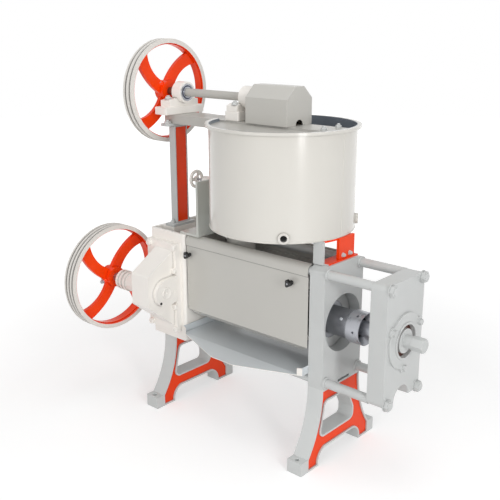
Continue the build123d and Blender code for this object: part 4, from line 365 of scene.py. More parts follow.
def turned_steel(name, colour, centre, roughness=0.32, paint_from=None, coat=None):
    """Turned steel with fine rings about an axis along X. It may have a coat beyond a place along X."""
    finish = Finish(name)
    x = finish.axes()[0]
    radius = radius_about(finish, centre)
    rings = finish.noise(1.0, 3, finish.vector(x * FINE_RINGS, radius * FINE_RINGS, 0.0))
    oil = finish.step(finish.noise(24.0, 3), 0.48, 0.66)
    base = finish.mix(rings * 0.6, toned(colour, 0.82), toned(colour, 1.12))
    base = finish.mix(oil * 0.45, base, toned(colour, 0.55))
    rough = rings * 0.16 + oil * -0.08 + (roughness - 0.04)
    bare = BARE_METAL
    if coat:
        painted = x > paint_from
        base = finish.mix(painted, base, coat)
        rough = rough + painted * 0.12
        bare = (1 - painted) * BARE_METAL
    return finish.surface(
        base_color=base,
        metallic=bare,
        roughness=rough,
        normal=finish.bump(rings, 0.00025, 0.4),
    )


def grooved_steel(name, colour):
    """Turned steel with grooves a few millimetres apart along X, with painted shade in them."""
    finish = Finish(name)
    groove = finish.step(finish.maths("SINE", finish.axes()[0] * (FULL_TURN / GROOVE_PITCH)), -0.5, 0.3)
    oil = finish.noise(40.0, 3)
    # Painted shade in the grooves
    base = finish.mix(groove, toned(colour, 0.12), colour)
    return finish.surface(
        base_color=base,
        metallic=0.8,
        roughness=oil * 0.2 + 0.22,
        normal=finish.bump(groove, 0.0012, 0.8),
    )


def oiled_steel(name, colour, roughness=0.45):
    """Dark cast or rolled steel with oil and meal dust on it."""
    finish = Finish(name)
    patches = finish.noise(14.0, 4)
    pits = finish.noise(190.0, 3)
    base = finish.mix(finish.step(patches, 0.35, 0.7), toned(colour, 0.6), toned(colour, 1.2))
    return finish.surface(
        base_color=base,
        metallic=0.6,
        roughness=patches * 0.2 + (roughness - 0.1),
        normal=finish.bump(patches * 0.5 + pits * 0.5, 0.0008, 0.4),
    )


def moulded_plastic(name, colour):
    """Black moulded plastic with a fine grain and a soft shine."""
    finish = Finish(name)
    grain = finish.noise(900.0, 2)
    scuff = finish.noise(60.0, 4)
    base = finish.mix(finish.step(scuff, 0.5, 0.8), colour, toned(colour, 2.2))
    return finish.surface(
        base_color=base,
        roughness=scuff * 0.2 + 0.2,
        coat_weight=0.15,
        coat_roughness=0.1,
        normal=finish.bump(grain, 0.0002, 0.3),
    )


# Mesh helpers
SAME_PLACE = 1e-6
TUBE_SIDES = 16
SMALL_ROUND = 28
SMOOTH_BELOW = 40


def turn_to(axis, origin):
    """The matrix that takes a piece made along +Z at the origin to its place."""
    return Matrix.Translation(origin) @ Vector(axis).to_track_quat("Z", "Y").to_matrix().to_4x4()


def local_up(place):
    """The direction that +Z takes in a place."""
    return (place.to_3x3() @ Z_AXIS).normalized()


def add_round(mesh, radius, height, place, sides, chamfer=0.0):
    """A round or polygonal bar that stands on the local origin, with its far edge broken."""
    lift = place @ Matrix.Translation((0, 0, height / 2))
    made = bmesh.ops.create_cone(
        mesh, cap_ends=True, segments=sides, radius1=radius, radius2=radius, depth=height, matrix=lift
    )
    if chamfer:
        far = place @ Vector((0, 0, height))
        reach = local_up(place)
        rim = {vertex for vertex in made["verts"] if abs((vertex.co - far).dot(reach)) < SAME_PLACE}
        edges = [edge for edge in mesh.edges if rim.issuperset(edge.verts)]
        bmesh.ops.bevel(
            mesh, geom=edges, offset=chamfer, segments=2, profile=0.5, affect="EDGES", material=-1,
            clamp_overlap=True,
        )


def add_turned(mesh, section, place, sides, closed=True):
    """A chain of (radius, height) points, spun about the local Z axis. An open chain ends on the axis."""
    corners = [mesh.verts.new(place @ Vector((radius, 0, height))) for radius, height in section]
    links = len(corners) if closed else len(corners) - 1
    edges = [mesh.edges.new((corners[i], corners[(i + 1) % len(corners)])) for i in range(links)]
    bmesh.ops.spin(
        mesh, geom=corners + edges, cent=place.translation, axis=local_up(place), angle=FULL_TURN,
        steps=sides, use_merge=True, use_duplicate=False,
    )


def add_round_rim(mesh, radius, tube, place, sides):
    """A ring of round section about the local Z axis."""
    section = []
    for step in range(TUBE_SIDES):
        turn = FULL_TURN * step / TUBE_SIDES
        section.append((radius + tube * math.cos(turn), tube * math.sin(turn)))
    add_turned(mesh, section, place, sides)


def raise_faces(mesh, faces, way):
    """Draws faces out along a way with walls behind them, and gives back their moved corners."""
    made = bmesh.ops.extrude_face_region(mesh, geom=faces)
    moved = [part for part in made["geom"] if isinstance(part, bmesh.types.BMVert)]
    bmesh.ops.translate(mesh, verts=moved, vec=way)
    return moved


def add_cap_screw(mesh, radius, height, place):
    """A round head with a broken edge and a socket for a key."""
    edge = height * 0.15
    socket = radius * 0.42
    floor = height * 0.88
    section = [
        (0, 0), (radius, 0), (radius, height - edge), (radius - edge, height), (socket, height),
        (socket * 0.9, floor), (0, floor),
    ]
    add_turned(mesh, section, place, SMALL_ROUND, closed=False)


def add_hexagon(mesh, flats, height, place):
    """A bolt head or nut with its far corners broken."""
    add_round(mesh, flats / math.sqrt(3), height, place, 6, chamfer=height * 0.14)


def add_bolt(mesh, flats, head, place, stud=0.0):
    """A washer with a hexagon on it, and a threaded end above it where there is a stud."""
    washer = flats * 0.12
    add_round(mesh, flats * 0.66, washer, place, 24, chamfer=washer * 0.3)
    above = place @ Matrix.Translation((0, 0, washer))
    add_hexagon(mesh, flats, head, above)
    if stud:
        top = above @ Matrix.Translation((0, 0, head))
        add_round(mesh, flats * 0.31, stud, top, 18, chamfer=flats * 0.06)


def piece_from(mesh, name, body, finish):
    """Ends a bmesh as a piece that rides on a body, in a finish that an earlier operator made."""
    bmesh.ops.remove_doubles(mesh, verts=mesh.verts, dist=SAME_PLACE)
    bmesh.ops.recalc_face_normals(mesh, faces=mesh.faces)
    for face in mesh.faces:
        face.smooth = True
    for edge in mesh.edges:
        if len(edge.link_faces) == 2:
            edge.smooth = edge.calc_face_angle() < math.radians(SMOOTH_BELOW)
    data = bpy.data.meshes.new(name)
    mesh.to_mesh(data)
    mesh.free()
    data.materials.append(bpy.data.materials[finish])
    piece = bpy.data.objects.new(name, data)
    bpy.context.scene.collection.objects.link(piece)
    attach(piece, body)
    return piece


def paint():
    return bpy.context.scene.press_paint


def fittings():
    return bpy.context.scene.press_fittings


def centre_of(node):
    low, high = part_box(node)
    return (low + high) / 2


def at(x, y, z):
    """A place on the press given in millimetres."""
    return Vector((x, y, z)) / 1000


def about(centre, radius, angle, x):
    """A place at a radius and an angle in degrees from +Y towards +Z about an axis along X."""
    turn = math.radians(angle)
    return Vector((x, centre.y + radius * math.cos(turn), centre.z + radius * math.sin(turn)))


def outward(angle):
    """The direction at an angle in degrees from +Y towards +Z."""
    turn = math.radians(angle)
    return Vector((0, math.cos(turn), math.sin(turn)))


def rim_radius(node):
    """Radius at which the rim of a belt pulley ends and its spokes begin."""
    low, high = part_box(node)
    return (high.z - low.z) / 2 - RIM_DEPTH


# Painted areas
FACING = 0.7
PANEL_DEPTH = 0.006
SURFACE_SPAN = 0.0015
POST_RIM = 0.018
POST_PANEL_X = -0.4262
FRONT_POST_REAR = -0.0939
RIM_DEPTH = 0.020
RED_PAST_RIM = 0.0008
PULLEY_LIP = 0.0045
GROOVE_TOP = 0.0015
GROOVE_REACH = 0.010
INSIDE_SHADE_INSET = 0.001
COVER_SEAM = 0.7665
# Band of painted shadow under the rolled hem of the cover
HEM_SHADOW_BELOW = 0.0042
HEM_SHADOW_ABOVE = 0.001
HEM_SHADOW_SHARE = 0.8

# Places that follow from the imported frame
stand_low, stand_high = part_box("right_stand")
stand_middle = (stand_low.x + stand_high.x) / 2
stand_half = (stand_high.x - stand_low.x) / 2
worm_axis = centre_of("worm_shaft")
lower_centre = centre_of("lower_pulley")
upper_centre = centre_of("upper_pulley")
end_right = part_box("end_plate")[1].x
pillow_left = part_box("pillow_blocks")[0].x
kettle_low, kettle_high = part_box("kettle_shell")
kettle_centre = Vector((0.1345, 0, 0))
KETTLE_RADIUS = 0.290

# Screws and plugs of the gear case. Screws stand in columns, each at an X with its heights, in millimetres
FLANGE_FRONT = -168.0
FLANGE_SCREW_COLUMNS = ((-325.75, (754, 652, 485, 379)), (-480.5, (751, 381)))
BOSS_FACE = -0.313
BOSS_PLUG_SECTION = (
    (0, 0), (0.025, 0), (0.025, 0.0022), (0.0235, 0.0035), (0.020, 0.0035), (0.0185, 0.0024),
    (0.005, 0.0024), (0.004, 0.0042), (0, 0.0042),
)
BOSS_SCREW_ANGLES = (125, 352)
BOSS_SCREW_RING = 0.050
BOSS_SCREW_RADIUS = 0.005
BOSS_SCREW_HEIGHT = 0.003
BLACK_PLUG_ANGLE = 228
BLACK_PLUG_RING = 0.052
BLACK_PLUG_RADIUS = 0.0055
BLACK_PLUG_HEIGHT = 0.003
BLACK_PLUG_EDGE = 0.001

# Bosses and set screws of the pulley hubs, as (name, body, centre, angle, reach)
HUB_SCREWS = (
    ("lower_hub", "input_drive", lower_centre, 194, 0.058),
    ("upper_hub", "upper_drive", upper_centre, 137, 0.056),
)
HUB_BOSS_FOOT = 0.040
HUB_BOSS_RADIUS = 0.0125
HUB_BOSS_EDGE = 0.002
HUB_SCREW_FLATS = 0.016
HUB_SCREW_HEAD = 0.009

# Bolts that stand on a level face, as (place, flats) in millimetres
PALE_BOLTS = (
    ((-438, -80, 1268.0), 26),
    ((-461, 62, 1268.0), 26),
    ((-442.5, -62, 824.0), 20),
    ((-442.5, 30, 824.0), 20),
    ((-448, -64, 1370.0), 22),
    ((-448, 64, 1370.0), 22),
    ((-68, -54, 1370.0), 22),
    ((-68, 54, 1370.0), 22),
    ((364.8, 46, 1307.0), 20),
    ((364.8, -46, 1307.0), 20),
)
BOLT_STUD = 0.006
# Bolts through the web of the right support, in millimetres
WEB_BOLTS = ((430.5, 6.0, 834.4), (430.5, 49.9, 834.4))
WEB_BOLT_FLATS = 0.014
WEB_BOLT_HEAD = 0.007
WEB_BOLT_STUD = 0.004

# Rings of the left bearing
LEFT_HOUSING_FACE = -0.3965
UPPER_SHAFT_RADIUS = 0.0178
RACE_INNER = 0.029
RACE_OUTER = 0.037
RACE_HEIGHT = 0.003
INNER_RACE_OUTER = 0.0245
INNER_RACE_HEIGHT = 0.005
RACE_EDGE = 0.001
SEAL_HEIGHT = 0.0016
SEAL_CREST = 0.0268

# Handwheel of the steam valve
wheel_low, wheel_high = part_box("valve_handwheel")
WHEEL_RADIUS = 0.041
WHEEL_HUB_SECTION = ((0, -0.006), (0.013, -0.006), (0.0135, 0.004), (0.010, 0.008), (0, 0.008))
WHEEL_SPOKES = 3
SPOKE_STEPS = 8
SPOKE_START = 0.008
SPOKE_HALF = 0.0055
SPOKE_FLARE = 0.013
SPOKE_THICKNESS = 0.005
STEM_RADIUS = 0.005
STEM_PAST_HUB = 0.008
STEM_NUT_FLATS = 0.011
STEM_NUT_HEIGHT = 0.006
STEM_NUT_SUNK = 0.0002
WHEEL_MIDDLE = 0.005
wheel_axis = (wheel_low + wheel_high) / 2
wheel_place = Vector((wheel_low.x + WHEEL_MIDDLE, wheel_axis.y, wheel_axis.z))

# Knobs of the cover
COVER_FACE = -0.1293
KNOB_HEAD = 0.015
KNOB_GAP = 0.0001
KNOB_COLLAR_SECTION = (
    (0, 0), (0.0085, 0), (0.0085, 0.003), (0.0065, 0.006), (0.0065, 0.018), (0, 0.018),
)
KNOB_LOBES = 3
KNOB_STEPS = 48
KNOB_LOBE_SHARE = 0.16
KNOB_EDGE = 0.003
KNOB_SCREW_RADIUS = 0.0038
KNOB_SCREW_HEIGHT = 0.0012
KNOB_STUD_RADIUS = 0.004

# Hem of the cover, rolled round the front top rod
rod_centre = Vector((0, -0.107, 0.786))
cover_low, cover_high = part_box("front_cover")
HEM_RADIUS = 0.0238
HEM_PROUD = 0.0016
HEM_SHEET = 0.0014
HEM_TURN = 225
HEM_STEPS = 14

# Seams of the kettle, as shares of the weld bead's radius
FOOT_SEAM_SHARE = 0.7
SIDE_SEAM_SHARE = 0.6
FOOT_SEAM_RISE = 0.003
SIDE_SEAM_RISE = 0.004
SIDE_SEAM_SHORT = 0.030
KETTLE_SIDES = 120

# Set screw of the choke sleeve
SLEEVE_SCREW_ANGLE = 145
SLEEVE_SCREW_X = 0.470
SLEEVE_SCREW_REACH = 0.0568
SLEEVE_SCREW_RADIUS = 0.0055
SLEEVE_SCREW_HEIGHT = 0.005

# Soft edges
WELD_GAP = 1e-5
PLANE_ANGLE = 0.5
EDGE_ANGLE = 38

# Stage
LIGHT_TARGET = Vector((0.0, 0.0, 0.8))
FLOOR_GLOW = 0.36
FLOOR_FAR_GLOW = 0.5
FLOOR_GLOW_FROM = 1.2
FLOOR_GLOW_TO = 4.5


class PRESS_OT_castings(bpy.types.Operator):
    """Paints the stands, plates, blocks and supports"""

    bl_idname = "press.castings"
    bl_label = "Castings"

    def execute(self, context):
        colours = paint()

        def stand_panels(finish):
            x = finish.axes()[0]
            side = finish.axes(finish.facing)[0]
            depth = abs(abs(abs(x) - stand_middle) - (stand_half - PANEL_DEPTH))
            return (depth < SURFACE_SPAN) * (abs(side) > FACING)

        def post_panel(finish):
            x, _, z = finish.axes()
            side = finish.axes(finish.facing)[0]
            low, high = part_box("beam_post")
            level = (z > low.z + POST_RIM) * (z < high.z - POST_RIM)
            return (side > FACING) * level * (x < POST_PANEL_X)

        def red_web(finish):
            y = finish.axes()[1]
            return y > FRONT_POST_REAR

        stand_coat = toned(colours.casting, 1.12)
        give(two_tone("stand_enamel", stand_coat, colours.red, stand_panels), "left_stand", "right_stand")
        give(two_tone("post_enamel", colours.casting, colours.red, post_panel), "beam_post")
        give(two_tone("support_enamel", colours.casting, colours.red, red_web), "kettle_right_support")
        give(
            enamel("casting_enamel", colours.casting),
            "thrust_plate", "end_plate", "end_bearing_cap",
            "rod_nuts", "rod_collars", "end_cap_bolts", "worm_shaft_nut", "tie_rods",
        )
        give(
            enamel("case_enamel", colours.gear_case, grain=0.8, gloss=0.38),
            "gear_frame", "gear_case_nose", "nose_bolts", "input_bearing_housing", "gear_frame_rear_cover",
            "bearing_blocks", "pillow_blocks",
        )
        return {"FINISHED"}


class PRESS_OT_pulleys(bpy.types.Operator):
    """Paints the rims of the belt pulleys pale and their spokes red, with painted shade deep in the grooves
    of the rims
    """

    bl_idname = "press.pulleys"
    bl_label = "Belt pulleys"

    def execute(self, context):
        colours = paint()
        for node in ("lower_pulley", "upper_pulley"):
            centre = centre_of(node)
            rim = rim_radius(node)

            def spokes(finish, centre=centre, rim=rim):
                return radius_about(finish, (centre.y, centre.z)) < rim + RED_PAST_RIM

            # Mask of the painted shade in the belt grooves: 0 at the top of the rim and 1 deep in the
            # grooves, away from the lips
            def grooves(finish, node=node, centre=centre, rim=rim):
                low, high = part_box(node)
                radius = radius_about(finish, (centre.y, centre.z))
                inner = abs(finish.axes()[0] - centre.x) < (high.x - low.x) / 2 - PULLEY_LIP
                return inner * finish.step(radius, (high.z - low.z) / 2 - GROOVE_TOP, rim + GROOVE_REACH)

            pale = toned(colours.gear_case, 0.86)
            give(two_tone(node + "_enamel", pale, colours.red, spokes, grain=0.12, shade_mask=grooves), node)
        return {"FINISHED"}


class PRESS_OT_sheet_metal(bpy.types.Operator):
    """Paints the kettle, the cover, the guard, the tray and the beam"""

    bl_idname = "press.sheet_metal"
    bl_label = "Sheet metal"

    def execute(self, context):
        colours = paint()

        # Mask of the painted shade on the inner face of the kettle wall
        def inside(finish):
            x, y, _ = finish.axes()
            radius = ((x - kettle_centre.x) ** 2 + (y - kettle_centre.y) ** 2) ** 0.5
            return radius < KETTLE_RADIUS - INSIDE_SHADE_INSET

        give(masked_enamel("kettle_enamel", colours.kettle, colours.shaded_kettle_inside, inside), "kettle_shell")
        give(enamel("cover_enamel", colours.cover, grain=0.15, gloss=0.36), "rear_guard", "bevel_guard")

        # Painted shadow line under the rolled hem of the cover
        def hem_shadow_line(finish):
            height = finish.axes()[2]
            near = (height > COVER_SEAM - HEM_SHADOW_BELOW) * (height < COVER_SEAM + HEM_SHADOW_ABOVE)
            return near * HEM_SHADOW_SHARE

        dark = toned(colours.cover, 0.3)
        give(masked_enamel("hemmed_cover_enamel", colours.cover, dark, hem_shadow_line), "front_cover")
        # A darker copy of the cover enamel: painted shade on the kettle lid and the top beam
        lid = toned(colours.cover, 0.86)
        give(enamel("shaded_lid_enamel", lid, grain=0.2, gloss=0.44), "kettle_lid", "top_beam")
        give(
            enamel("bracket_enamel", toned(colours.cover, 0.84), grain=0.3, gloss=0.45),
            "kettle_base", "feed_chute", "feed_housing", "cover_stay_bar", "tray_bars",
        )
        give(enamel("support_plate_enamel", colours.bracket, grain=0.3, gloss=0.45), "kettle_left_support")

        def outer_face(finish):
            return finish.axes(finish.facing)[1] < -FACING

        pale = toned(colours.gear_case, 0.95)
        give(masked_enamel("tray_enamel", colours.tray, pale, outer_face), "oil_tray")
        # The liner and the feed gate take the same blue-grey, darkened as painted shade
        give(oiled_steel("liner_steel", colours.shaded_kettle_inside, 0.4), "kettle_liner", "feed_gate")
        return {"FINISHED"}


class PRESS_OT_running_gear(bpy.types.Operator):
    """Gives the shafts, gears, worms, bearings and the choke their bare metal"""

    bl_idname = "press.running_gear"
    bl_label = "Running gear"

    def execute(self, context):
        colours = paint()
        axis = (worm_axis.y, worm_axis.z)
        give(turned_steel("choke_steel", colours.steel, axis, 0.28), "choke_ring")
        give(grooved_steel("collar_steel", colours.steel), "choke_collar")
        give(turned_steel("sleeve_steel", toned(colours.steel, 0.68), axis, 0.4), "choke_body")
        give(
            turned_steel("worm_shaft_steel", colours.steel, axis, 0.36, end_right, colours.casting),
            "worm_shaft",
        )
        give(
            turned_steel(
                "upper_shaft_steel", colours.rust, (upper_centre.y, upper_centre.z), 0.5, pillow_left,
                toned(colours.cover, 0.9),
            ),
            "upper_shaft",
        )
        give(turned_steel("input_steel", colours.steel, (lower_centre.y, lower_centre.z)), "input_shaft")
        give(
            oiled_steel("oiled_steel", colours.dark_steel),
            "worms", "cage_bars", "main_gear", "input_pinion", "bevel_pinion", "crown_gear", "stirrer",
            "cage_upper_half", "cage_lower_half", "cage_bolts",
        )
        give(turned_steel("race_steel", colours.steel, axis, 0.25), "main_bearings", "input_bearings")
        # Grease brown with painted shade for the end bearing, which sits inside the end cap
        give(oiled_steel("greased_shaded_steel", colours.grease_and_shade, 0.4), "end_bearing")
        give(oiled_steel("bush_bronze", colours.bronze, 0.35), "stirrer_bearings")
        give(enamel("valve_enamel", colours.gear_case, grain=0.5), "steam_valve", "valve_handwheel")
        give(moulded_plastic("knob_plastic", colours.plastic), "cover_knob_left", "cover_knob_right")
        oiled_steel("screw_steel", toned(colours.steel, 0.9), 0.38)
        oiled_steel("bright_steel", toned(colours.steel, 1.6), 0.28)
        moulded_plastic("seal_rubber", SEAL_RUBBER)
        enamel("hub_red", colours.red, grain=0.4, gloss=0.34)
        return {"FINISHED"}


class PRESS_OT_case_fittings(bpy.types.Operator):
    """Adds the screws and plugs of the gear case"""

    bl_idname = "press.case_fittings"
    bl_label = "Gear case fittings"

    def execute(self, context):
        sizes = fittings()
        screws = bmesh.new()
        for x, heights in FLANGE_SCREW_COLUMNS:
            for z in heights:
                place = turn_to(-Y_AXIS, at(x, FLANGE_FRONT, z))
                add_cap_screw(screws, sizes.cap_screw, sizes.cap_screw, place)
        piece = piece_from(screws, "flange_screws", "press_frame", "case_enamel")
        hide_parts("nose_bolts")

        plugs = bmesh.new()
        facing = turn_to(X_AXIS, Vector((BOSS_FACE, lower_centre.y, lower_centre.z)))
        add_turned(plugs, BOSS_PLUG_SECTION, facing, sizes.round_steps, closed=False)
        for angle in BOSS_SCREW_ANGLES:
            place = turn_to(X_AXIS, about(lower_centre, BOSS_SCREW_RING, angle, BOSS_FACE))
            add_cap_screw(plugs, BOSS_SCREW_RADIUS, BOSS_SCREW_HEIGHT, place)
        piece_from(plugs, "boss_plugs", "press_frame", "case_enamel")
        black = bmesh.new()
        place = turn_to(X_AXIS, about(lower_centre, BLACK_PLUG_RING, BLACK_PLUG_ANGLE, BOSS_FACE))
        add_round(black, BLACK_PLUG_RADIUS, BLACK_PLUG_HEIGHT, place, 20, BLACK_PLUG_EDGE)
        piece_from(black, "boss_black_plug", "press_frame", "knob_plastic")
        return {"FINISHED"}


class PRESS_OT_hub_screws(bpy.types.Operator):
    """Adds the bosses and set screws on the hubs of the belt pulleys"""

    bl_idname = "press.hub_screws"
    bl_label = "Hub set screws"

    def execute(self, context):
        for name, body, centre, angle, reach in HUB_SCREWS:
            boss = bmesh.new()
            way = outward(angle)
            foot = turn_to(way, about(centre, HUB_BOSS_FOOT, angle, centre.x))
            add_round(boss, HUB_BOSS_RADIUS, reach - HUB_BOSS_FOOT, foot, SMALL_ROUND, HUB_BOSS_EDGE)
            piece_from(boss, name + "_boss", body, "hub_red")
            screw = bmesh.new()
            head = turn_to(way, about(centre, reach, angle, centre.x))
            add_bolt(screw, HUB_SCREW_FLATS, HUB_SCREW_HEAD, head)
            piece_from(screw, name + "_screw", body, "screw_steel")
        return {"FINISHED"}


class PRESS_OT_frame_bolts(bpy.types.Operator):
    """Adds the bolts of the post, the beam, the pillow blocks and the kettle supports"""

    bl_idname = "press.frame_bolts"
    bl_label = "Frame bolts"

    def execute(self, context):
        sizes = fittings()
        pale = bmesh.new()
        for place, flats in PALE_BOLTS:
            add_bolt(pale, flats / 1000, sizes.bolt_head, turn_to(Z_AXIS, at(*place)), BOLT_STUD)
        piece_from(pale, "frame_bolts", "press_frame", "casting_enamel")
        web = bmesh.new()
        for place in WEB_BOLTS:
            add_bolt(web, WEB_BOLT_FLATS, WEB_BOLT_HEAD, turn_to(X_AXIS, at(*place)), WEB_BOLT_STUD)
        piece_from(web, "support_bolts", "press_frame", "casting_enamel")
        return {"FINISHED"}


class PRESS_OT_bearing_seals(bpy.types.Operator):
    """Adds the steel rings that close the left pillow bearing"""

    bl_idname = "press.bearing_seals"
    bl_label = "Bearing seals"

    def execute(self, context):
        sizes = fittings()
        rings = bmesh.new()
        edge_height = RACE_HEIGHT / 2
        outer_race = [
            (RACE_INNER, 0),
            (RACE_OUTER, 0),
            (RACE_OUTER, edge_height),
            (RACE_OUTER - RACE_EDGE, RACE_HEIGHT),
            (RACE_INNER + edge_height, RACE_HEIGHT),
            (RACE_INNER, edge_height),
        ]
        inner_race = [
            (UPPER_SHAFT_RADIUS, 0),
            (INNER_RACE_OUTER, 0),
            (INNER_RACE_OUTER, INNER_RACE_HEIGHT - edge_height),
            (INNER_RACE_OUTER - RACE_EDGE, INNER_RACE_HEIGHT),
            (UPPER_SHAFT_RADIUS, INNER_RACE_HEIGHT),
        ]
        facing = turn_to(X_AXIS, Vector((LEFT_HOUSING_FACE, upper_centre.y, upper_centre.z)))
        add_turned(rings, outer_race, facing, sizes.round_steps)
        add_turned(rings, inner_race, facing, sizes.round_steps)
        piece_from(rings, "left_bearing_rings", "press_frame", "race_steel")
        seal = bmesh.new()
        lip = [
            (INNER_RACE_OUTER, 0),
            (RACE_INNER, 0),
            (RACE_INNER, SEAL_HEIGHT / 2),
            (SEAL_CREST, SEAL_HEIGHT),
            (INNER_RACE_OUTER, SEAL_HEIGHT / 2),
        ]
        add_turned(seal, lip, facing, sizes.round_steps)
        piece_from(seal, "left_bearing_seal", "press_frame", "seal_rubber")
        return {"FINISHED"}


class PRESS_OT_handwheel(bpy.types.Operator):
    """Makes the handwheel of the steam valve with its round rim and wide spokes"""

    bl_idname = "press.handwheel"
    bl_label = "Handwheel"

    def execute(self, context):
        sizes = fittings()
        facing = turn_to(-X_AXIS, wheel_place)
        rim_middle = WHEEL_RADIUS - sizes.wheel_rim
        wheel = bmesh.new()
        add_round_rim(wheel, rim_middle, sizes.wheel_rim, facing, sizes.round_steps)
        add_turned(wheel, WHEEL_HUB_SECTION, facing, sizes.round_steps, closed=False)
        for spoke in range(WHEEL_SPOKES):
            turn = facing @ Matrix.Rotation(FULL_TURN * spoke / WHEEL_SPOKES, 4, "Z")
            self.add_spoke(wheel, rim_middle, turn)
        piece = piece_from(wheel, "handwheel_casting", "handwheel", "valve_enamel")
        stem = bmesh.new()
        length = wheel_high.x - wheel_place.x + STEM_PAST_HUB
        add_round(stem, STEM_RADIUS, length, turn_to(X_AXIS, wheel_place - X_AXIS * STEM_PAST_HUB), 24)
        nut_place = wheel_place - X_AXIS * (STEM_PAST_HUB - STEM_NUT_SUNK)
        add_hexagon(stem, STEM_NUT_FLATS, STEM_NUT_HEIGHT, turn_to(-X_AXIS, nut_place))
        steel = piece_from(stem, "handwheel_stem", "handwheel", "screw_steel")
        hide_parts("valve_handwheel")
        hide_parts("valve_handwheel")
        return {"FINISHED"}

    def add_spoke(self, mesh, reach, place):
        """A flat spoke that widens into the rim along a curve."""
        rows = []
        for step in range(SPOKE_STEPS + 1):
            share = step / SPOKE_STEPS
            along = SPOKE_START + (reach - SPOKE_START) * share
            half = SPOKE_HALF + SPOKE_FLARE * share ** 3
            rows.append([
                mesh.verts.new(place @ Vector((along, edge, -SPOKE_THICKNESS / 2))) for edge in (-half, half)
            ])
        faces = [mesh.faces.new((a[0], b[0], b[1], a[1])) for a, b in zip(rows, rows[1:])]
        raise_faces(mesh, faces, local_up(place) * SPOKE_THICKNESS)


class PRESS_OT_knobs(bpy.types.Operator):
    """Makes the three-lobed knobs of the cover"""

    bl_idname = "press.knobs"
    bl_label = "Cover knobs"

    def execute(self, context):
        sizes = fittings()
        for side in ("left", "right"):
            low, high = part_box("cover_knob_" + side)
            centre = (low + high) / 2
            head = turn_to(-Y_AXIS, Vector((centre.x, low.y + KNOB_HEAD, centre.z)))
            knob = bmesh.new()
            self.add_lobed_head(knob, sizes.knob, head)
            neck = turn_to(-Y_AXIS, Vector((centre.x, COVER_FACE - KNOB_GAP, centre.z)))
            add_turned(knob, KNOB_COLLAR_SECTION, neck, SMALL_ROUND, closed=False)
            piece = piece_from(knob, f"lobed_knob_{side}", side + "_knob", "knob_plastic")
            screw = bmesh.new()
            front = turn_to(-Y_AXIS, Vector((centre.x, low.y + KNOB_SCREW_HEIGHT / 2, centre.z)))
            add_cap_screw(screw, KNOB_SCREW_RADIUS, KNOB_SCREW_HEIGHT, front)
            back = turn_to(Y_AXIS, Vector((centre.x, COVER_FACE, centre.z)))
            add_round(screw, KNOB_STUD_RADIUS, high.y - COVER_FACE, back, 20)
            stud = piece_from(screw, f"knob_stud_{side}", side + "_knob", "screw_steel")
            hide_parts("cover_knob_" + side)
            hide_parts("cover_knob_" + side)
        return {"FINISHED"}

    def add_lobed_head(self, mesh, radius, place):
        """A grip whose outline has three round lobes, with soft edges."""
        corners = []
        for step in range(KNOB_STEPS):
            turn = FULL_TURN * step / KNOB_STEPS
            reach = radius * (1 - KNOB_LOBE_SHARE + KNOB_LOBE_SHARE * math.cos(KNOB_LOBES * turn))
            corner = Vector((reach * math.cos(turn), reach * math.sin(turn), 0))
            corners.append(mesh.verts.new(place @ corner))
        face = mesh.faces.new(corners)
        top = raise_faces(mesh, [face], local_up(place) * KNOB_HEAD)
        rim = [e for e in mesh.edges if len(set(e.verts) & set(top)) == 2 and len(e.link_faces) == 2]
        rim = [e for e in rim if e.calc_face_angle() > 1.0]
        bmesh.ops.bevel(
            mesh, geom=rim, offset=KNOB_EDGE, segments=3, profile=0.5, affect="EDGES", material=-1,
            clamp_overlap=True,
        )


class PRESS_OT_sheet_trim(bpy.types.Operator):
    """Adds the rolled hem of the cover and the welded seams of the kettle"""

    bl_idname = "press.sheet_trim"
    bl_label = "Sheet trim"

    def execute(self, context):
        sizes = fittings()
        hem = bmesh.new()
        outline = [(COVER_FACE - HEM_PROUD, COVER_SEAM), (COVER_FACE - HEM_PROUD, rod_centre.z)]
        for step in range(1, HEM_STEPS + 1):
            place = about(rod_centre, HEM_RADIUS, 180 - HEM_TURN * step / HEM_STEPS, 0)
            outline.append((place.y, place.z))
        rows = [[hem.verts.new((x, y, z)) for x in (cover_low.x, cover_high.x)] for y, z in outline]
        for first, second in zip(rows, rows[1:]):
            hem.faces.new((first[0], first[1], second[1], second[0]))
        bmesh.ops.recalc_face_normals(hem, faces=hem.faces)
        bmesh.ops.solidify(hem, geom=hem.faces[:], thickness=-HEM_SHEET)
        piece_from(hem, "cover_hem", "cover", "cover_enamel")

        seams = bmesh.new()
        foot = turn_to(Z_AXIS, kettle_centre + Z_AXIS * (kettle_low.z + FOOT_SEAM_RISE))
        add_round_rim(seams, KETTLE_RADIUS, sizes.weld * FOOT_SEAM_SHARE, foot, KETTLE_SIDES)
        edge = kettle_centre + X_AXIS * KETTLE_RADIUS + Z_AXIS * (kettle_low.z + SIDE_SEAM_RISE)
        length = kettle_high.z - kettle_low.z - SIDE_SEAM_SHORT
        add_round(seams, sizes.weld * SIDE_SEAM_SHARE, length, turn_to(Z_AXIS, edge), 10)
        piece_from(seams, "kettle_seams", "press_frame", "kettle_enamel")
        return {"FINISHED"}


class PRESS_OT_choke_screws(bpy.types.Operator):
    """Adds the bright set screw on the choke sleeve"""

    bl_idname = "press.choke_screws"
    bl_label = "Choke set screw"

    def execute(self, context):
        screw = bmesh.new()
        place = about(worm_axis, SLEEVE_SCREW_REACH, SLEEVE_SCREW_ANGLE, SLEEVE_SCREW_X)
        facing = turn_to(outward(SLEEVE_SCREW_ANGLE), place)
        add_cap_screw(screw, SLEEVE_SCREW_RADIUS, SLEEVE_SCREW_HEIGHT, facing)
        piece_from(screw, "sleeve_set_screws", "press_frame", "bright_steel")
        return {"FINISHED"}


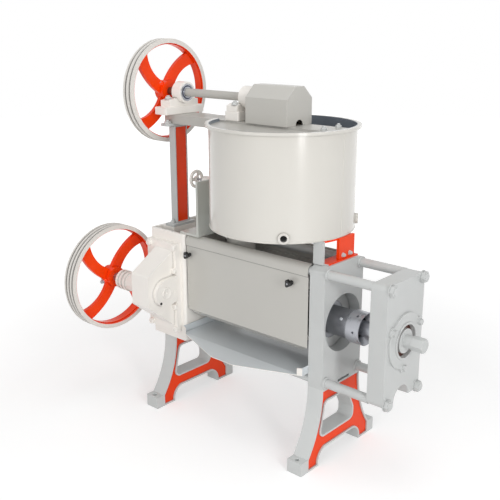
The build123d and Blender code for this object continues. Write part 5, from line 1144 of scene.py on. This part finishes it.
class PRESS_OT_soft_edges(bpy.types.Operator):
    """Rounds the edges of the castings and breaks those of the machined pieces"""

    bl_idname = "press.soft_edges"
    bl_label = "Soft edges"

    def execute(self, context):
        sizes = fittings()
        cast = (
            "left_stand", "right_stand", "gear_frame", "gear_case_nose", "thrust_plate", "end_plate",
            "bearing_blocks", "pillow_blocks",
        )
        machined = (
            "choke_ring", "choke_collar", "choke_body", "rod_collars", "end_bearing_cap",
            "worm_shaft", "input_bearing_housing", "beam_post",
            "kettle_right_support", "kettle_left_support", "top_beam", "bevel_guard",
        )
        for names, width in ((cast, sizes.cast_edge), (machined, sizes.machined_edge)):
            for name in names:
                soften(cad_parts[name], width)
        return {"FINISHED"}


def soften(node, width):
    """Joins a node's loose triangles into plane faces and rounds the edges between them."""
    weld = node.modifiers.new("Join", "WELD")
    weld.merge_threshold = WELD_GAP
    flat = node.modifiers.new("Plane faces", "DECIMATE")
    flat.decimate_type = "DISSOLVE"
    flat.angle_limit = math.radians(PLANE_ANGLE)
    rounding = node.modifiers.new("Rounded edges", "BEVEL")
    rounding.limit_method = "ANGLE"
    rounding.angle_limit = math.radians(EDGE_ANGLE)
    rounding.width = width
    rounding.segments = 2
    rounding.harden_normals = False
    flatter = node.modifiers.new("Flat faces stay flat", "WEIGHTED_NORMAL")
    flatter.mode = "FACE_AREA"
    flatter.weight = 100
    flatter.keep_sharp = True


class PRESS_OT_stage(bpy.types.Operator):
    """Makes the floor, the lights, the backdrop and the camera"""

    bl_idname = "press.stage"
    bl_label = "Stage"

    def execute(self, context):
        scene = context.scene
        studio = scene.press_studio
        self.make_floor(studio)
        self.make_sky(scene, studio)
        self.make_light("Key", studio.key, size=(0.8, 2.6), place=Vector((4.2, -1.75, 1.9)))
        self.make_light("Fill", studio.fill, size=(2.4, 2.0), place=Vector((0.9, -4.4, 2.1)))
        self.make_light("Top", studio.top, size=(2.4, 2.4), place=Vector((0.4, -0.2, 4.6)))
        data = bpy.data.cameras.new("Camera")
        data.sensor_width = 36.0
        data.lens = studio.lens
        data.shift_x = studio.shift_x
        data.shift_y = studio.shift_y
        camera = bpy.data.objects.new("Camera", data)
        scene.collection.objects.link(camera)
        camera.location = studio.camera_place
        camera.rotation_euler = (math.pi / 2 - studio.camera_tilt, 0.0, studio.camera_turn)
        scene.camera = camera
        scene.view_settings.view_transform = "Standard"
        return {"FINISHED"}

    def make_light(self, name, power, size, place):
        """A rectangular light that faces the press."""
        data = bpy.data.lights.new(name, "AREA")
        data.shape = "RECTANGLE"
        data.size, data.size_y = size
        data.energy = power
        light = bpy.data.objects.new(name, data)
        bpy.context.scene.collection.objects.link(light)
        light.location = place
        light.rotation_euler = (LIGHT_TARGET - place).to_track_quat("-Z", "Y").to_euler()

    def make_floor(self, studio):
        """A pale floor that keeps the shadow and meets the backdrop without a line."""
        mesh = bmesh.new()
        bmesh.ops.create_circle(mesh, cap_ends=True, segments=96, radius=studio.floor)
        data = bpy.data.meshes.new("Floor")
        mesh.to_mesh(data)
        mesh.free()
        floor = bpy.data.objects.new("Floor", data)
        bpy.context.scene.collection.objects.link(floor)
        finish = Finish("studio_floor")
        seen = finish.node("ShaderNodeLightPath")
        rays = Level(finish, seen.outputs["Is Camera Ray"]) + Level(finish, seen.outputs["Is Glossy Ray"])
        across, along, _ = finish.axes()
        far = finish.step((across ** 2 + along ** 2) ** 0.5, FLOOR_GLOW_FROM, FLOOR_GLOW_TO)
        glow = rays * (far * FLOOR_FAR_GLOW + FLOOR_GLOW)
        lifted = finish.node("ShaderNodeEmission", (), {"Color": (1, 1, 1, 1), "Strength": glow})
        matt = finish.node("ShaderNodeBsdfDiffuse", (), {"Color": (0.8, 0.8, 0.8, 1)})
        both = finish.node("ShaderNodeAddShader", (), {0: matt.outputs[0], 1: lifted.outputs[0]})
        finish.node("ShaderNodeOutputMaterial", (), {"Surface": both.outputs[0]})
        data.materials.append(finish.material)

    def make_sky(self, scene, studio):
        """Even light all round, and white behind the press for the camera and in reflections."""
        world = bpy.data.worlds.new("Studio")
        world.use_nodes = True
        tree = world.node_tree
        tree.nodes.clear()
        rays = add_node(tree, "ShaderNodeLightPath").outputs
        bright = rays["Is Camera Ray"]
        for other in (rays["Is Glossy Ray"], rays["Is Transmission Ray"]):
            most = add_node(tree, "ShaderNodeMath", {"operation": "MAXIMUM"}, {0: bright, 1: other})
            bright = most.outputs[0]
        level = add_node(
            tree, "ShaderNodeMapRange", (), {"Value": bright, "To Min": studio.sky, "To Max": 1.0}
        )
        light = add_node(
            tree, "ShaderNodeBackground", (), {"Color": (1, 1, 1, 1), "Strength": level.outputs["Result"]}
        )
        add_node(tree, "ShaderNodeOutputWorld", (), {"Surface": light.outputs[0]})
        scene.world = world


class PRESS_PT_panel(bpy.types.Panel):
    """Lists the settings and steps of the press"""

    bl_label = "Oil Press"
    bl_idname = "PRESS_PT_panel"
    bl_space_type = "VIEW_3D"
    bl_region_type = "UI"
    bl_category = "Oil Press"

    def draw(self, context):
        for group in (context.scene.press_paint, context.scene.press_fittings, context.scene.press_studio):
            box = self.layout.box()
            for name in group.__annotations__:
                box.prop(group, name)
        for step in STEPS:
            self.layout.operator(step.bl_idname)


STEPS = (
    PRESS_OT_castings,
    PRESS_OT_pulleys,
    PRESS_OT_sheet_metal,
    PRESS_OT_running_gear,
    PRESS_OT_case_fittings,
    PRESS_OT_hub_screws,
    PRESS_OT_frame_bolts,
    PRESS_OT_bearing_seals,
    PRESS_OT_handwheel,
    PRESS_OT_knobs,
    PRESS_OT_sheet_trim,
    PRESS_OT_choke_screws,
    PRESS_OT_soft_edges,
    PRESS_OT_stage,
)
CLASSES = (PressPaint, PressFittings, PressStudio, *STEPS, PRESS_PT_panel)


def register():
    for cls in CLASSES:
        bpy.utils.register_class(cls)
    bpy.types.Scene.press_paint = PointerProperty(type=PressPaint)
    bpy.types.Scene.press_fittings = PointerProperty(type=PressFittings)
    bpy.types.Scene.press_studio = PointerProperty(type=PressStudio)


def unregister():
    del bpy.types.Scene.press_studio
    del bpy.types.Scene.press_fittings
    del bpy.types.Scene.press_paint
    for cls in reversed(CLASSES):
        bpy.utils.unregister_class(cls)


def main():
    register()
    bpy.ops.press.castings()
    bpy.ops.press.pulleys()
    bpy.ops.press.sheet_metal()
    bpy.ops.press.running_gear()
    bpy.ops.press.case_fittings()
    bpy.ops.press.hub_screws()
    bpy.ops.press.frame_bolts()
    bpy.ops.press.bearing_seals()
    bpy.ops.press.handwheel()
    bpy.ops.press.knobs()
    bpy.ops.press.sheet_trim()
    bpy.ops.press.choke_screws()
    bpy.ops.press.soft_edges()
    bpy.ops.press.stage()


if __name__ == "__main__":
    main()
